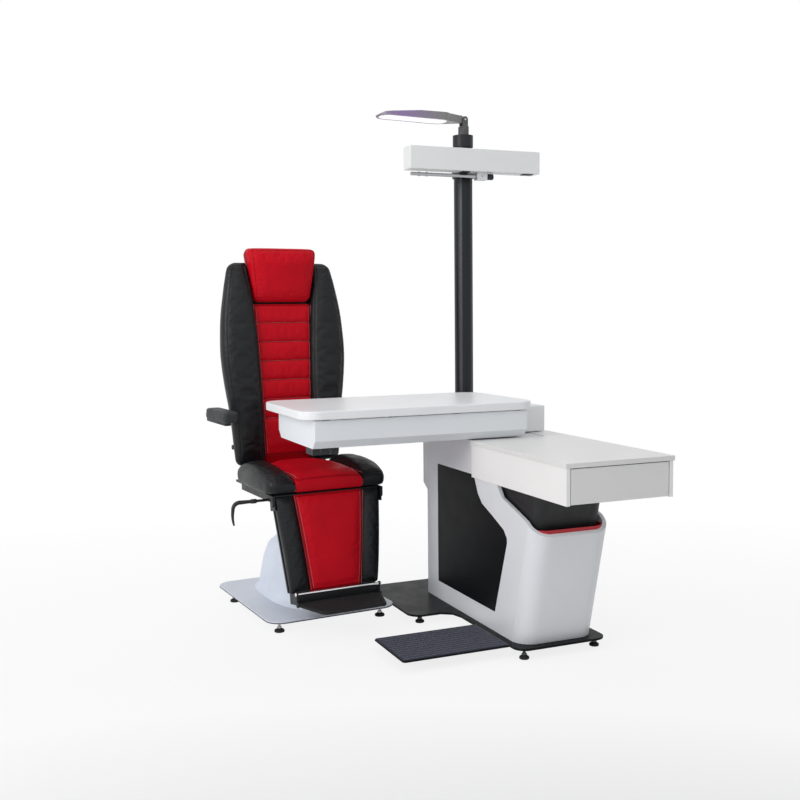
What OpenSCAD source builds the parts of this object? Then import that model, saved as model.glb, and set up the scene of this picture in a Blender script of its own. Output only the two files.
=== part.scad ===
// Combined eye examination unit: patient chair, instrument table, phoropter arm and lamp.
// The stand's own axes run through the middle of the cabinet: X to the right, Y to the back.
// The chair has its own axes on its centre line, at the front of its floor plate, a little turned.

/* [Floor plates] */
// Clear height under the stand's floor plate
plate_z = 32; // [28:1:45]
// Thickness of the stand's floor plate
plate_t = 8; // [6:1:12]
// Width of the stand's floor plate
base_w = 354; // [340:1:380]
// Back edge of the stand's floor plate
base_back = 430; // [425:1:440]
// Front edge of the stand's floor plate
base_front = 548; // [540:1:560]
// Corner radius of the stand's floor plate
base_r = 45; // [30:1:60]
// How far the side wing reaches left of the cabinet's middle
wing_reach = 345; // [335:1:350]
// Front edge of the side wing
wing_front = 42; // [30:1:50]
// Width of the step plate
step_w = 396; // [370:1:400]
// Depth of the step plate
step_d = 262; // [240:1:280]
// Front edge of the step plate
step_front = 494; // [480:1:510]
// Thickness of the step plate
step_t = 4; // [3:0.5:8]
// Thickness of the ribbed step mat
mat_t = 5; // [4:0.5:8]
// Radius of a levelling foot under the stand
foot_r = 17; // [14:1:22]
// Height of a levelling foot's pad
foot_h = 14; // [10:1:18]
// Radius of a levelling foot's threaded stem
stem_r = 5; // [4:0.5:7]

/* [Cabinet] */
// Width of the cabinet
cab_w = 300; // [290:1:306]
// Height of the cabinet
cab_h = 660; // [656:1:662]
// Back face of the cabinet
cab_back = 237; // [230:1:240]
// Length from the back face to the lip at the front
cab_len = 850; // [840:1:860]
// Front edge of the cabinet at its foot
cab_front = 515; // [505:1:525]
// Forward lean of the cabinet's front
cab_lean = 14.3; // [12:0.1:16]
// Wall of the cabinet shell
cab_wall = 14; // [10:1:16]
// Radius of the cabinet's front corners
cab_r = 65; // [50:1:70]
// Depth of the pocket for the black side panels
pocket_d = 4; // [3:0.5:6]
// Thickness of the black side panels
panel_t = 3.4; // [2:0.1:5]
// Gap at the sides of the black inner body
body_inset = 22; // [21:1:26]
// Distance from the cabinet's front to the black inner body
body_setback = 40; // [34:1:60]
// Sheet thickness of the black inner body
body_wall = 3; // [2:0.5:4]
// Thickness of the red trim round the inner body
trim_t = 6; // [4:0.5:6]
// Height of the red trim
trim_h = 50; // [30:1:60]
// Depth of the mast housing behind the cabinet
housing_d = 63; // [50:1:65]
// Width of the mast housing
housing_w = 280; // [240:1:290]
// Height of the mast housing
housing_h = 260; // [220:1:300]

/* [Side table] */
// Width of the side table's top
side_w = 408; // [400:1:414]
// Front edge of the side table's top
side_front = 811; // [790:1:830]
// Back face of the side table, where the cabinet rises
side_back = 165; // [160:1:170]
// Left edge of the side table's top
side_left = 160; // [156:1:166]
// Height of the side table's deck over the cabinet's top
deck_rise = 2; // [1:0.5:4]
// Height of the side table's box
side_box_h = 118; // [112:1:124]
// Thickness of the side table's top
side_top_t = 16; // [12:1:22]
// Overhang of the top over the box
side_lip = 4; // [2:1:8]
// Board thickness of the side table
board_t = 14; // [12:1:18]
// How far back the top's right-hand tongue reaches
tongue_back = 15; // [10:1:60]
// Width of that tongue
tongue_w = 96; // [60:1:97]
// Thickness of the drawer's front
front_t = 18; // [14:1:22]
// Gap round the drawer's front
front_gap = 3; // [2:0.5:4]
// Length of the drawer's box
drawer_l = 549; // [480:1:580]
// Height of the drawer's box
drawer_h = 80; // [60:1:90]
// Board of the drawer's box
drawer_wall = 10; // [8:1:14]
// Thickness of one drawer rail
rail_t = 6; // [4:0.5:6.4]
// Height of one drawer rail
rail_h = 20; // [16:1:30]

/* [Instrument table] */
// Length of the table top
top_l = 902; // [860:1:920]
// Depth of the table top
top_d = 515; // [500:1:518]
// Thickness of the table top
top_t = 30; // [24:1:34]
// Corner radius of the table top
top_r = 70; // [50:1:100]
// Right edge of the table top
top_right = 97; // [90:1:100]
// Front edge of the table top
top_front = 205; // [198:1:210]
// Height of the tray body
tray_h = 98.5; // [90:0.5:110]
// Length of the tray body
tray_l = 822; // [780:1:830]
// Depth of the tray body
tray_d = 430; // [420:1:440]
// Front face of the tray body
tray_front = 190; // [180:1:195]
// Size of the sloped edge under the tray body
tray_slope = 28; // [20:1:34]
// Sheet thickness of the tray body
tray_wall = 2; // [1.5:0.5:3]
// Running gap between the tray body and the side table
tray_gap = 4.5; // [3:0.5:8]
// Height of the spacers between tray body and top
spacer_h = 3; // [2:0.5:5]
// Width of the swing head
head_w = 156; // [140:1:160]
// Depth of the swing head
head_d = 284; // [260:1:290]
// Front face of the swing head
head_front = 52; // [45:1:60]
// Height of the swing head
head_h = 97.5; // [90:0.5:97.5]
// Swing axis, right of the cabinet's middle
swing_x = 100; // [98:1:101]
// Swing axis, towards the back
swing_y = 90; // [80:1:100]
// Radius of the swing spindle
spindle_r = 20; // [16:1:22]
// Radius of the control box's buttons
button_r = 5; // [4:0.5:7]
// Travel of a button
button_travel = 2; // [1:0.5:3]

/* [Pole and arm] */
// Pole axis, right of the cabinet's middle
pole_x = 83; // [78:1:90]
// Pole axis, towards the back
pole_y = 372; // [368:1:374]
// Radius of the pole
pole_r = 38; // [36:0.5:40]
// Wall of the pole
pole_wall = 3; // [2:0.5:4]
// Height of the pole's top end
pole_top = 1880; // [1860:1:1900]
// Wall of the cap's sleeve
cap_wall = 3.3; // [2.5:0.1:5]
// Length of the cap's sleeve
cap_h = 42; // [30:1:50]
// Length of the arm box
arm_l = 579; // [540:1:620]
// How far the arm box reaches right of the pole
arm_right = 292; // [270:1:300]
// Depth of the arm box
arm_d = 72; // [60:1:80]
// Height of the arm box
arm_h = 89; // [80:1:100]
// Height of the arm box's underside
arm_z = 1728; // [1700:1:1740]
// Sheet thickness of the arm box
arm_wall = 2; // [1.5:0.5:3]
// Radius of the phoropter rod
rod_r = 7; // [6:0.5:9]
// Length of the phoropter rod
rod_l = 323; // [300:1:330]
// Radius of the clamp knob
knob_r = 12; // [10:0.5:15]
// Length of the lamp head
lamp_l = 368; // [330:1:380]
// Width of the lamp head
lamp_w = 110; // [90:1:130]
// Height of the lamp's hinge above the pole's cap
lamp_rise = 65; // [55:1:75]

/* [Chair base] */
// Chair axes, left of the cabinet's middle
chair_left = 601; // [600:1:625]
// Chair axes, towards the back
chair_back = 114; // [112:1:135]
// Turn of the chair against the stand
chair_yaw = 4.5; // [3:0.1:5]
// Width of the chair's floor plate
seat_plate_w = 518; // [512:1:520]
// Length of the chair's floor plate
seat_plate_l = 658; // [640:1:680]
// Thickness of the chair's floor plate
seat_plate_t = 8; // [6:1:12]
// Front edge of the chair's floor plate
seat_plate_front = 35; // [25:1:40]
// Corner radius of the chair's floor plate
seat_plate_r = 62; // [50:1:80]
// Radius of a chair foot
chair_foot_r = 19; // [16:1:24]
// Height of the pedestal cover
cover_h = 232; // [215:1:235]
// Wall of the covers
cover_wall = 4; // [3:0.5:5]
// Lift axis from the chair's front axes
lift_y = 317; // [310:1:325]
// Radius of the moving lift tube
lift_r = 30; // [26:1:34]
// Wall of the fixed lift tube
lift_wall = 15; // [10:1:18]

/* [Seat] */
// Half the width of the seat
seat_half = 243; // [236:1:246]
// Front of the seat
seat_front = 8; // [5:1:10]
// Length of the side bolsters
bolster_l = 360; // [340:1:362]
// Length of the red insert
insert_l = 388; // [370:1:390]
// Underside height of the seat cushions
seat_z = 511; // [509:1:514]
// Rise of the bolsters at the back
bolster_t = 90; // [84:1:94]
// Thickness of the red insert
insert_t = 74; // [68:1:80]
// Half the width of the red insert
insert_half = 136; // [130:1:140]
// Gap between neighbouring cushions
seam = 0.6; // [0.4:0.1:2]
// Thickness of the seat board
seat_board_t = 8; // [6:1:12]
// Depth of the seat frame's rails
seat_rail_h = 34; // [30:1:40]

/* [Leg rest] */
// Hinge axis from the chair's front axes
leg_y = 30; // [28:1:32]
// Height of the leg rest's hinge axis
leg_z = 474; // [472:1:476]
// Forward slope of the leg rest
leg_tilt = 9.5; // [8:0.5:11]
// Length of the leg rest's pads
leg_l = 358; // [340:1:362]
// Thickness of the leg rest's pads
leg_t = 48; // [40:1:50]
// Half the width at the top
leg_half = 214; // [208:1:216]
// Half the width of the red insert at the top
leg_red_half = 139; // [130:1:145]
// Radius of the chrome hinge rod
hinge_r = 5; // [4:0.5:6]
// Depth of the foot plate
foot_plate_d = 145; // [130:1:160]
// Half the width of the foot plate at its hinge
foot_plate_half = 162; // [150:1:162]
// Thickness of the foot plate
foot_plate_t = 12; // [10:1:12]

/* [Backrest] */
// Foot of the backrest cushions from the chair's front axes
back_y = 455; // [453:1:460]
// Height of the foot of the backrest cushions
back_z = 560; // [558:1:566]
// Backward slope of the backrest
back_tilt = 4.9; // [4:0.1:6]
// Length of the side bolsters
wing_l = 813; // [790:1:830]
// Thickness of the side bolsters
wing_t = 80; // [70:1:84]
// Half the greatest width of the backrest
back_half = 264; // [256:1:266]
// Thickness of the channelled panel
channel_t = 55; // [48:1:56]
// Half the width of the channelled panel at its top
channel_half = 123; // [117:1:127]
// Number of sewn channels
channels = 8; // [6:1:10]
// Start of the channelled panel above the foot
channel_start = 32; // [30:1:45]
// Length of the channelled panel
channel_l = 614; // [590:1:616]
// Length of the headrest
headrest_l = 214; // [200:1:220]
// Thickness of the headrest
headrest_t = 106; // [98:1:108]
// Thickness of the back shell
shell_t = 22; // [20:1:26]
// Radius of the headrest posts
post_r = 5; // [4:0.5:6]
// Middle of an armrest pad from the chair's middle
arm_pad_x = 309; // [308:1:315]
// Width of an armrest pad
arm_pad_w = 62; // [50:1:64]
// Length of an armrest pad
arm_pad_l = 240; // [220:1:242]
// Thickness of an armrest pad
arm_pad_t = 42; // [34:1:46]
// Height of the armrest's hinge above the backrest's foot
arm_pivot = 211; // [205:1:215]
// Radius of the armrest's hinge pin
arm_pin_r = 7; // [6:0.5:8]

/* [Hidden] */
$fn = 48;
// Overrun of every cut past the face that it opens
cut = 1;
// Clearance of a fixed piece in its seat
seat_gap = 0.3;
// Radial clearance of a turning or sliding round fit
run_gap = 0.05;
// Rest place of the whole object's middle in the stand's axes
origin_x = -298.7;
origin_y = -30.2;
plate_top = plate_z + plate_t;
cab_top = plate_top + cab_h;
side_deck = cab_top + deck_rise;
side_z = side_deck - side_top_t - side_box_h;
tray_z = side_deck + tray_gap;
top_z = tray_z + tray_h + spacer_h;
chair_top = plate_top + seat_plate_t;

module on_stand() {
    translate([-origin_x, -origin_y, 0]) children();
}

module on_chair() {
    translate([-chair_left - origin_x, chair_back - origin_y, 0]) rotate([0, 0, chair_yaw]) children();
}

// Upright axes that lean with the backrest: X across, Y up along it, Z out of its front
module on_back() {
    translate([0, back_y, back_z]) rotate([90 - back_tilt, 0, 0]) children();
}

// The same for the leg rest, whose pads hang down along -Y
module on_leg() {
    translate([0, leg_y, leg_z]) rotate([90 - leg_tilt, 0, 0]) children();
}

// Rectangle from its low corner, with round corners
module round_rect(size, r) {
    translate([r, 0]) square([size.x - 2 * r, size.y]);
    translate([0, r]) square([size.x, size.y - 2 * r]);
    for (x = [r, size.x - r], y = [r, size.y - r]) translate([x, y]) circle(r);
}

module round_plate(corner, size, r) {
    translate(corner) linear_extrude(size.z) round_rect([size.x, size.y], r);
}

module box(low, high) {
    translate(low) cube(high - low);
}

module box_shell(low, high, wall) {
    difference() {
        box(low, high);
        box(low + [wall, wall, wall], high - [wall, wall, wall]);
    }
}

// Cylinder along X
module along_x(x0, x1, y, z, r) {
    translate([x0, y, z]) rotate([0, 90, 0]) cylinder(r = r, h = x1 - x0);
}

// Cylinder along Y
module along_y(y0, y1, x, z, r) {
    translate([x, y1, z]) rotate([90, 0, 0]) cylinder(r = r, h = y1 - y0);
}

module ring(r_out, r_in, z0, z1) {
    difference() {
        translate([0, 0, z0]) cylinder(r = r_out, h = z1 - z0);
        translate([0, 0, z0 - cut]) cylinder(r = r_in, h = z1 - z0 + 2 * cut);
    }
}

// Cushions
// A cushion's front is a grid over its outline. The height falls to the belly line at the edges,
// from where the sides are drawn in to a flat back.
side_power = 10;
side_root = 5;
belly_share = 0.35;
function fall(s) = pow(max(0, 1 - pow(abs(s), side_power)), 1 / side_root);
function eased(i, n) = (1 - cos(180 * i / n)) / 2;
function pad_point(t, j, left, right, thick, cols, length, crown, groove, count) =
    let (a = lookup(t, left), b = lookup(t, right), s = 2 * eased(j, cols) - 1,
         belly = belly_share * lookup(t, thick),
         channel = 1 - groove * (1 - sqrt(abs(sin(180 * count * t)))))
    [a + (b - a) * eased(j, cols), length * t,
     belly + (lookup(t, thick) - crown * s * s - belly) * fall(s) * fall(2 * t - 1) * channel];
// Rim of the grid, counted anticlockwise from its first corner
function rim(k, m, n) = k <= n ? [0, k] : k <= n + m ? [k - n, n]
    : k <= 2 * n + m ? [m, 2 * n + m - k] : [2 * n + 2 * m - k, 0];
function drawn_in(p, left, right, t, length, tuck) =
    let (middle = (lookup(t, left) + lookup(t, right)) / 2,
         half = (lookup(t, right) - lookup(t, left)) / 2)
    [middle + (p.x - middle) * (1 - tuck / half), tuck + p.y * (1 - 2 * tuck / length), 0];
// Triangles of the flat back between its left and right rim, with a fan at each end
function back_faces(base, m, n) = let (end = base + 2 * (m + n), right = base + n, top = right + m + n)
    concat([for (j = [0:n - 1]) [base + j, base + j + 1, end - 1]], [[right, right + 1, end - 1]],
        [for (i = [1:m - 2]) [end - i, right + i, right + i + 1]],
        [for (i = [1:m - 2]) [end - i, right + i + 1, end - i - 1]],
        [for (j = [0:n - 1]) [top - j - 1, top - j, right + m - 1]],
        [[top, top + 1, right + m - 1]]);
// left, right and thick are tables of [share of the length, size]
module pad(rows, left, right, thick, cols, length, tuck, crown = 0, groove = 0, count = 1) {
    m = len(rows) - 1;
    n = cols;
    w = n + 1;
    ring = 2 * (m + n);
    base = (m + 1) * w;
    front = [for (t = rows, j = [0:n])
        pad_point(t, j, left, right, thick, n, length, crown, groove, count)];
    back = [for (k = [0:ring - 1]) let (at = rim(k, m, n))
        drawn_in(front[at.x * w + at.y], left, right, rows[at.x], length, tuck)];
    edge = [for (k = [0:ring]) let (at = rim(k % ring, m, n)) at.x * w + at.y];
    polyhedron(concat(front, back), concat(
        [for (i = [0:m - 1], j = [0:n - 1]) [i * w + j, (i + 1) * w + j, (i + 1) * w + j + 1]],
        [for (i = [0:m - 1], j = [0:n - 1]) [i * w + j, (i + 1) * w + j + 1, i * w + j + 1]],
        [for (k = [0:ring - 1]) [base + k, edge[k], edge[k + 1]]],
        [for (k = [0:ring - 1]) [base + k, edge[k + 1], base + (k + 1) % ring]],
        back_faces(base, m, n)));
}
function even_rows(n) = [for (i = [0:n]) i / n];
function eased_rows(n) = [for (i = [0:n]) eased(i, n)];

// Floor plates and feet
base_left = base_w / 2 - 1;
tongue_reach = 85;
tongue_from = 188;
wing_r = 50;
step_r = 12;
step_right = base_left;
mat_edge = 3;
module base_plate() {
    color("#1c1d20") on_stand() translate([0, 0, plate_z]) linear_extrude(plate_t) {
        translate([-base_left, -base_front]) round_rect([base_w, base_front + base_back], base_r);
        translate([-wing_reach, -wing_front])
            round_rect([wing_reach, wing_front + base_back], wing_r);
        translate([-wing_reach - tongue_reach, tongue_from])
            square([tongue_reach + wing_r, base_back - tongue_from - wing_r]);
        polygon([[-base_left + wing_r / 2, wing_r / 2 - wing_front],
            [-base_left - wing_r, wing_r / 2 - wing_front], [-base_left - wing_r, -wing_front],
            [-base_left - wing_r / 4, -wing_front - wing_r / 2],
            [-base_left, -wing_front - wing_r * 3 / 2],
            [-base_left + wing_r / 2, -wing_front - wing_r * 3 / 2]]);
    }
}

module levelling_foot(r, top) {
    cylinder(r = r, h = foot_h);
    cylinder(r = stem_r, h = top);
}

// Places of the feet, as shares of the plate's sizes
table_feet_shares = [[-0.40, -0.955], [0.42, -0.92], [-0.44, 0.915], [0.42, 0.915]];
module table_feet() {
    color("#26272a") on_stand() {
        for (p = table_feet_shares)
            translate([p.x * base_w, p.y * (p.y < 0 ? base_front : base_back), 0])
                levelling_foot(foot_r, plate_z);
        translate([-wing_reach + 3 * foot_r, 0, 0]) levelling_foot(foot_r, plate_z);
        translate([-step_right - step_w * 3 / 4, -step_front + step_d / 2, 0])
            levelling_foot(foot_r, plate_top - step_t);
    }
}

module step_plate() {
    color("#17181b") on_stand()
        round_plate([-step_right - step_w, -step_front, plate_top - step_t],
            [step_w, step_d, step_t], step_r);
}

module step_mat() {
    color("#27304a") on_stand() round_plate([-step_right - step_w + mat_edge, -step_front + mat_edge,
        plate_top], [step_w - 2 * mat_edge, step_d - 2 * mat_edge, mat_t], step_r - mat_edge);
}

// Cabinet
// Solid with the leaning, round-cornered front, drawn in by side and front, cut to a side outline
module lean_form(side, front, r, outline) {
    far = 2 * cab_len;
    intersection() {
        translate([-cab_w / 2 + side, 0, 0]) rotate([90, 0, 90])
            linear_extrude(cab_w - 2 * side) polygon(outline);
        translate([0, -cab_front, plate_top]) rotate([cab_lean, 0, 0])
            translate([-cab_w / 2 + side, front, -cab_h])
                linear_extrude(2 * cab_h) round_rect([cab_w - 2 * side, far], r);
    }
}
function cab_y(share) = cab_back - share * cab_len;
function cab_z(share) = plate_top + share * cab_h;
// Lip of the cabinet from the side table's underside to the front, as [length, height] shares
lip_shares = [[0.685, 0.800], [0.724, 0.739], [0.839, 0.692], [0.924, 0.655], [1, 0.588], [1.06, 0.53]];
// Edge of the black side panels below the side table, in the same shares
panel_shares = [[0.487, 0.795], [0.519, 0.714], [0.555, 0.670], [0.658, 0.618], [0.744, 0.571],
    [0.771, 0.533], [0.773, 0.508], [0.747, 0.411], [0.667, 0.106], [0.114, 0.106], [0.114, 0.814]];
cab_outline = concat(
    [[cab_back, plate_top], [cab_back, cab_top], [-side_back, cab_top], [-side_back, side_z],
     [cab_y(lip_shares[0].x), side_z]],
    [for (i = [1:len(lip_shares) - 1]) [cab_y(lip_shares[i].x), cab_z(lip_shares[i].y)]],
    [[cab_y(lip_shares[5].x), plate_top]]
);
cab_hollow = [
    [cab_back - cab_wall, plate_top - cut], [cab_back - cab_wall, cab_top - cab_wall],
    [cab_wall - side_back, cab_top - cab_wall], [cab_wall - side_back, side_z + cut],
    [-cab_len, side_z + cut], [-cab_len, plate_top - cut]
];
panel_gap = 0.6;
bearing_wall = 10;
inlet_w = 48;
inlet_h = 28;
inlet_x = 40;
inlet_z = 120;
module panel_outline(grow) {
    back = panel_shares[10];
    polygon(concat(
        [for (p = panel_shares) [cab_y(p.x) + (p.x < 0.4 ? grow : -grow),
            cab_z(p.y) + (p.y > 0.8 ? grow : p.y < 0.2 ? -grow : 0)]],
        [[panel_gap - side_back - grow, cab_z(back.y) + grow],
         [panel_gap - side_back - grow, side_z - 2 * panel_gap + grow]]));
}
module side_panel(grow, depth) {
    rotate([90, 0, 90]) linear_extrude(depth) panel_outline(grow);
}
module cabinet_shell() {
    color("#eceff4") on_stand() difference() {
        lean_form(0, 0, cab_r, cab_outline);
        lean_form(cab_wall, cab_wall, cab_r - cab_wall, cab_hollow);
        translate([-cab_w / 2 - cut, 0, 0]) side_panel(0, pocket_d + cut);
        translate([cab_w / 2 - pocket_d, 0, 0]) side_panel(0, pocket_d + cut);
        translate([swing_x, swing_y, cab_top - cab_wall - cut])
            cylinder(r = spindle_r + bearing_wall + seat_gap, h = cab_wall + 2 * cut);
        box([inlet_x - inlet_w / 2, cab_back - cab_wall - cut, inlet_z - inlet_h / 2],
            [inlet_x + inlet_w / 2, cab_back + cut, inlet_z + inlet_h / 2]);
    }
}
module left_inset_panel() {
    color("#17181a") on_stand()
        translate([-cab_w / 2 + pocket_d - panel_t, 0, 0]) side_panel(-panel_gap, panel_t);
}
module right_inset_panel() {
    color("#17181a") on_stand() translate([cab_w / 2 - pocket_d, 0, 0]) side_panel(-panel_gap, panel_t);
}

body_back = 100;
body_r = 45;
function body_outline(back, low, high) = [[back, low], [back, high], [-cab_len, high], [-cab_len, low]];
module inner_body() {
    color("#101113") on_stand() difference() {
        lean_form(body_inset, body_setback, body_r, body_outline(-body_back, plate_top, side_z));
        lean_form(body_inset + body_wall, body_setback + body_wall, body_r - body_wall,
            body_outline(-body_back - body_wall, plate_top - cut, side_z + cut));
    }
}
trim_top_share = 0.6182;
trim_top = plate_top + trim_top_share * cab_h;
module trough_trim() {
    outer = cab_wall + seat_gap;
    inner = cab_wall + trim_t;
    start = cab_y(lip_shares[2].x);
    color("#8c0d18") on_stand() difference() {
        lean_form(outer, outer, cab_r - outer, body_outline(start, trim_top - trim_h, trim_top));
        lean_form(inner, inner, cab_r - inner,
            body_outline(start + cut, trim_top - trim_h - cut, trim_top + cut));
    }
}

housing_wall = 3;
housing_slope = 40;
housing_low = cab_top - housing_h;
module housing_form(inset) {
    translate([-housing_w / 2 + inset, 0, 0]) rotate([90, 0, 90]) linear_extrude(housing_w - 2 * inset)
        polygon([[cab_back + inset, housing_low + inset], [cab_back + inset, cab_top - inset],
            [cab_back + housing_d - inset, cab_top - inset],
            [cab_back + housing_d - inset, housing_low + housing_slope + inset]]);
}
module mast_housing() {
    color("#e6e9ee") on_stand() difference() {
        housing_form(0);
        housing_form(housing_wall);
    }
}

// Pole
clamp_h = 30;
clamp_edge = 12;
clamp_shares = [0.6923, 0.2308];
clamp_low = cab_top - clamp_shares[0] * housing_h;
clamp_high = cab_top - clamp_shares[1] * housing_h;
stop_h = 10;
pole_foot_t = 10;
pole_foot_r = 56;
pole_bolt_r = 4;
cap_top_t = 5;
cap_top = pole_top + seat_gap + cap_top_t;
collar_drop = 6;
collar_low = arm_z - collar_drop;
module pole_clamps() {
    color("#1b1c1f") on_stand() {
        for (z = [clamp_low, clamp_high]) difference() {
            box([pole_x - pole_r - clamp_edge, cab_back + housing_d, z],
                [pole_x + pole_r + clamp_edge, pole_y + pole_r + clamp_edge, z + clamp_h]);
            translate([pole_x, pole_y, z - cut]) cylinder(r = pole_r + seat_gap, h = clamp_h + 2 * cut);
        }
        translate([pole_x, pole_y, 0])
            ring(pole_r + 2 * cap_wall, pole_r + seat_gap, collar_low - stop_h, collar_low - seat_gap);
    }
}
module pole() {
    color("#141517") on_stand() translate([pole_x, pole_y, 0]) {
        ring(pole_r, pole_r - pole_wall, plate_top, pole_top);
        difference() {
            ring(pole_foot_r, pole_r - pole_wall / 2, plate_top, plate_top + pole_foot_t);
            for (a = [45:90:315]) rotate([0, 0, a]) translate([pole_foot_r - 2 * pole_bolt_r, 0, plate_top])
                translate([0, 0, -cut]) cylinder(r = pole_bolt_r, h = pole_foot_t + 2 * cut);
        }
    }
}
neck_pin_r = 10;
module pole_cap() {
    sleeve_r = pole_r + seat_gap + cap_wall;
    color("#1b1c1f") on_stand() translate([pole_x, pole_y, 0]) {
        ring(sleeve_r, pole_r + seat_gap, pole_top + seat_gap - cap_h, pole_top + seat_gap);
        ring(sleeve_r, neck_pin_r + run_gap, pole_top + seat_gap, cap_top);
    }
}

// Side table
side_right = side_w - side_left;
box_low = [side_lip - side_left, side_lip - side_front, side_z];
box_high = [side_right - side_lip, -side_back, side_deck - side_top_t];
module side_carcass() {
    drawer_room = side_front - side_lip - front_t - 2 * front_gap;
    color("#eff0f2") on_stand() {
        difference() {
            box(box_low, box_high);
            box([box_low.x + board_t, box_low.y - cut, box_low.z + board_t],
                [box_high.x - board_t, box_high.y - board_t, box_high.z + cut]);
            box([box_low.x + board_t, box_low.y - cut, box_low.z - cut],
                [box_high.x - board_t, -drawer_room, box_low.z + board_t + cut]);
        }
        box([cab_w / 2, -side_back, side_deck - side_top_t - 2 * side_top_t],
            [box_high.x, -tongue_back - 2 * side_lip, side_deck - side_top_t]);
    }
}
module side_top() {
    color("#f4f5f6") on_stand() {
        box([-side_left, -side_front, side_deck - side_top_t], [side_right, -side_back, side_deck]);
        box([side_right - tongue_w, -side_back, side_deck - side_top_t],
            [side_right, -tongue_back, side_deck]);
    }
}
drawer_lift = 8;
drawer_low = side_z + board_t + drawer_lift;
rail_z = drawer_low + drawer_h / 2;
drawer_front_y = side_front - side_lip - front_t;
rail_gap = 1;
drawer_gap = 2 * rail_t + rail_gap;
drawer_left = box_low.x + board_t + drawer_gap;
drawer_right = box_high.x - board_t - drawer_gap;
module rail(x) {
    box([x, -drawer_front_y, rail_z - rail_h / 2],
        [x + rail_t, -drawer_front_y + drawer_l, rail_z + rail_h / 2]);
}
module drawer_runners() {
    color("#a9adb2") on_stand() {
        rail(box_low.x + board_t);
        rail(box_high.x - board_t - rail_t);
    }
}
module drawer_box() {
    low = [drawer_left, -drawer_front_y, drawer_low];
    high = [drawer_right, -drawer_front_y + drawer_l, drawer_low + drawer_h];
    color("#d9dadd") on_stand() {
        difference() {
            box(low, high);
            box(low + [drawer_wall, drawer_wall, drawer_wall],
                [high.x - drawer_wall, high.y - drawer_wall, high.z + cut]);
        }
        rail(drawer_left - rail_t);
        rail(drawer_right);
    }
}
module drawer_front() {
    low = [box_low.x + board_t + front_gap, box_low.y, side_z + front_gap];
    high = [box_high.x - board_t - front_gap, box_low.y + front_t, side_deck - side_top_t - front_gap];
    color("#eff0f2") on_stand() box(low, high);
}

// Swinging instrument table
bearing_l = 78;
bearing_flange = 5;
thrust_r = 55;
head_step = 5;
head_left = top_right - (top_l - tray_l) / 2 + head_step;
head_wall = 2.5;
tray_left = head_left - tray_l;
module at_swing() {
    on_stand() translate([swing_x, swing_y, 0]) children();
}
module swing_bearing() {
    r = spindle_r + bearing_wall;
    color("#8f9399") at_swing() {
        ring(r, spindle_r + run_gap, cab_top - bearing_l, cab_top);
        ring(r + bearing_flange, r - cut, cab_top - cab_wall - bearing_flange, cab_top - cab_wall);
    }
}
module swing_spindle() {
    color("#b9bcc1") at_swing() {
        translate([0, 0, cab_top - bearing_l]) cylinder(r = spindle_r, h = tray_z - cab_top + bearing_l);
        translate([0, 0, cab_top + seat_gap]) cylinder(r = thrust_r, h = tray_z - cab_top - seat_gap);
    }
}
module swing_head() {
    color("#e9ecef") on_stand() box_shell([head_left, -head_front, tray_z],
        [head_left + head_w, head_d - head_front, tray_z + head_h], head_wall);
}
module tray_form(inset) {
    low = -tray_front + inset;
    high = tray_d - tray_front - inset;
    bevel = tray_slope - inset / 2;
    translate([tray_left + inset, 0, 0]) rotate([90, 0, 90]) linear_extrude(tray_l - 2 * inset)
        polygon([[low + bevel, tray_z + inset], [high - bevel, tray_z + inset], [high, tray_z + bevel],
            [high, tray_z + tray_h - inset], [low, tray_z + tray_h - inset], [low, tray_z + bevel]]);
}
module tray_body() {
    color("#e6eaf0") on_stand() difference() {
        tray_form(0);
        tray_form(tray_wall);
    }
}
module table_top() {
    color("#f6f7f8") on_stand()
        round_plate([top_right - top_l, -top_front, top_z], [top_l, top_d, top_t], top_r);
}
spacer_w = 26;
spacer_shares = [0.05, 0.35, 0.65, 0.95];
module top_spacers() {
    color("#33363b") on_stand() for (s = spacer_shares, back = [0, 1])
        translate([tray_left + s * tray_l - spacer_w / 2,
            back * (tray_d - spacer_w) - tray_front, tray_z + tray_h])
            cube([spacer_w, spacer_w, spacer_h]);
}
box_w = 92;
box_d = 74;
box_h = 25.5;
box_inset = 8;
box_x = tray_left + box_inset;
box_setback = 50;
box_front = tray_front - box_setback;
button_z = tray_z - box_h / 2;
button_depth = 7;
button_out = 2.5;
module button_seat(share, gap, out) {
    along_y(-box_front - out, -box_front + button_depth - button_out, box_x + share * box_w, button_z,
        button_r + gap);
}
module control_box() {
    color("#141517") on_stand() difference() {
        box([box_x, -box_front, tray_z - box_h], [box_x + box_w, box_d - box_front, tray_z]);
        for (s = [0.3, 0.7])
            along_y(-box_front - cut, -box_front + button_depth, box_x + s * box_w, button_z,
                button_r + run_gap);
    }
}
module button_up() {
    color("#d7dade") on_stand() button_seat(0.3, 0, button_out);
}
module button_down() {
    color("#d7dade") on_stand() button_seat(0.7, 0, button_out);
}
inlet_wall = 4;
inlet_depth = 18;
module power_inlet() {
    hw = inlet_w / 2 - seat_gap;
    hh = inlet_h / 2 - seat_gap;
    color("#151618") on_stand() difference() {
        union() {
            box([inlet_x - hw, cab_back - cab_wall, inlet_z - hh], [inlet_x + hw, cab_back, inlet_z + hh]);
            box([inlet_x - hw - inlet_wall, cab_back, inlet_z - hh - inlet_wall],
                [inlet_x + hw + inlet_wall, cab_back + inlet_wall, inlet_z + hh + inlet_wall]);
        }
        box([inlet_x - hw + inlet_wall, cab_back + inlet_wall - inlet_depth + inlet_wall,
            inlet_z - hh + inlet_wall],
            [inlet_x + hw - inlet_wall, cab_back + inlet_wall + cut, inlet_z + hh - inlet_wall]);
    }
}

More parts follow.
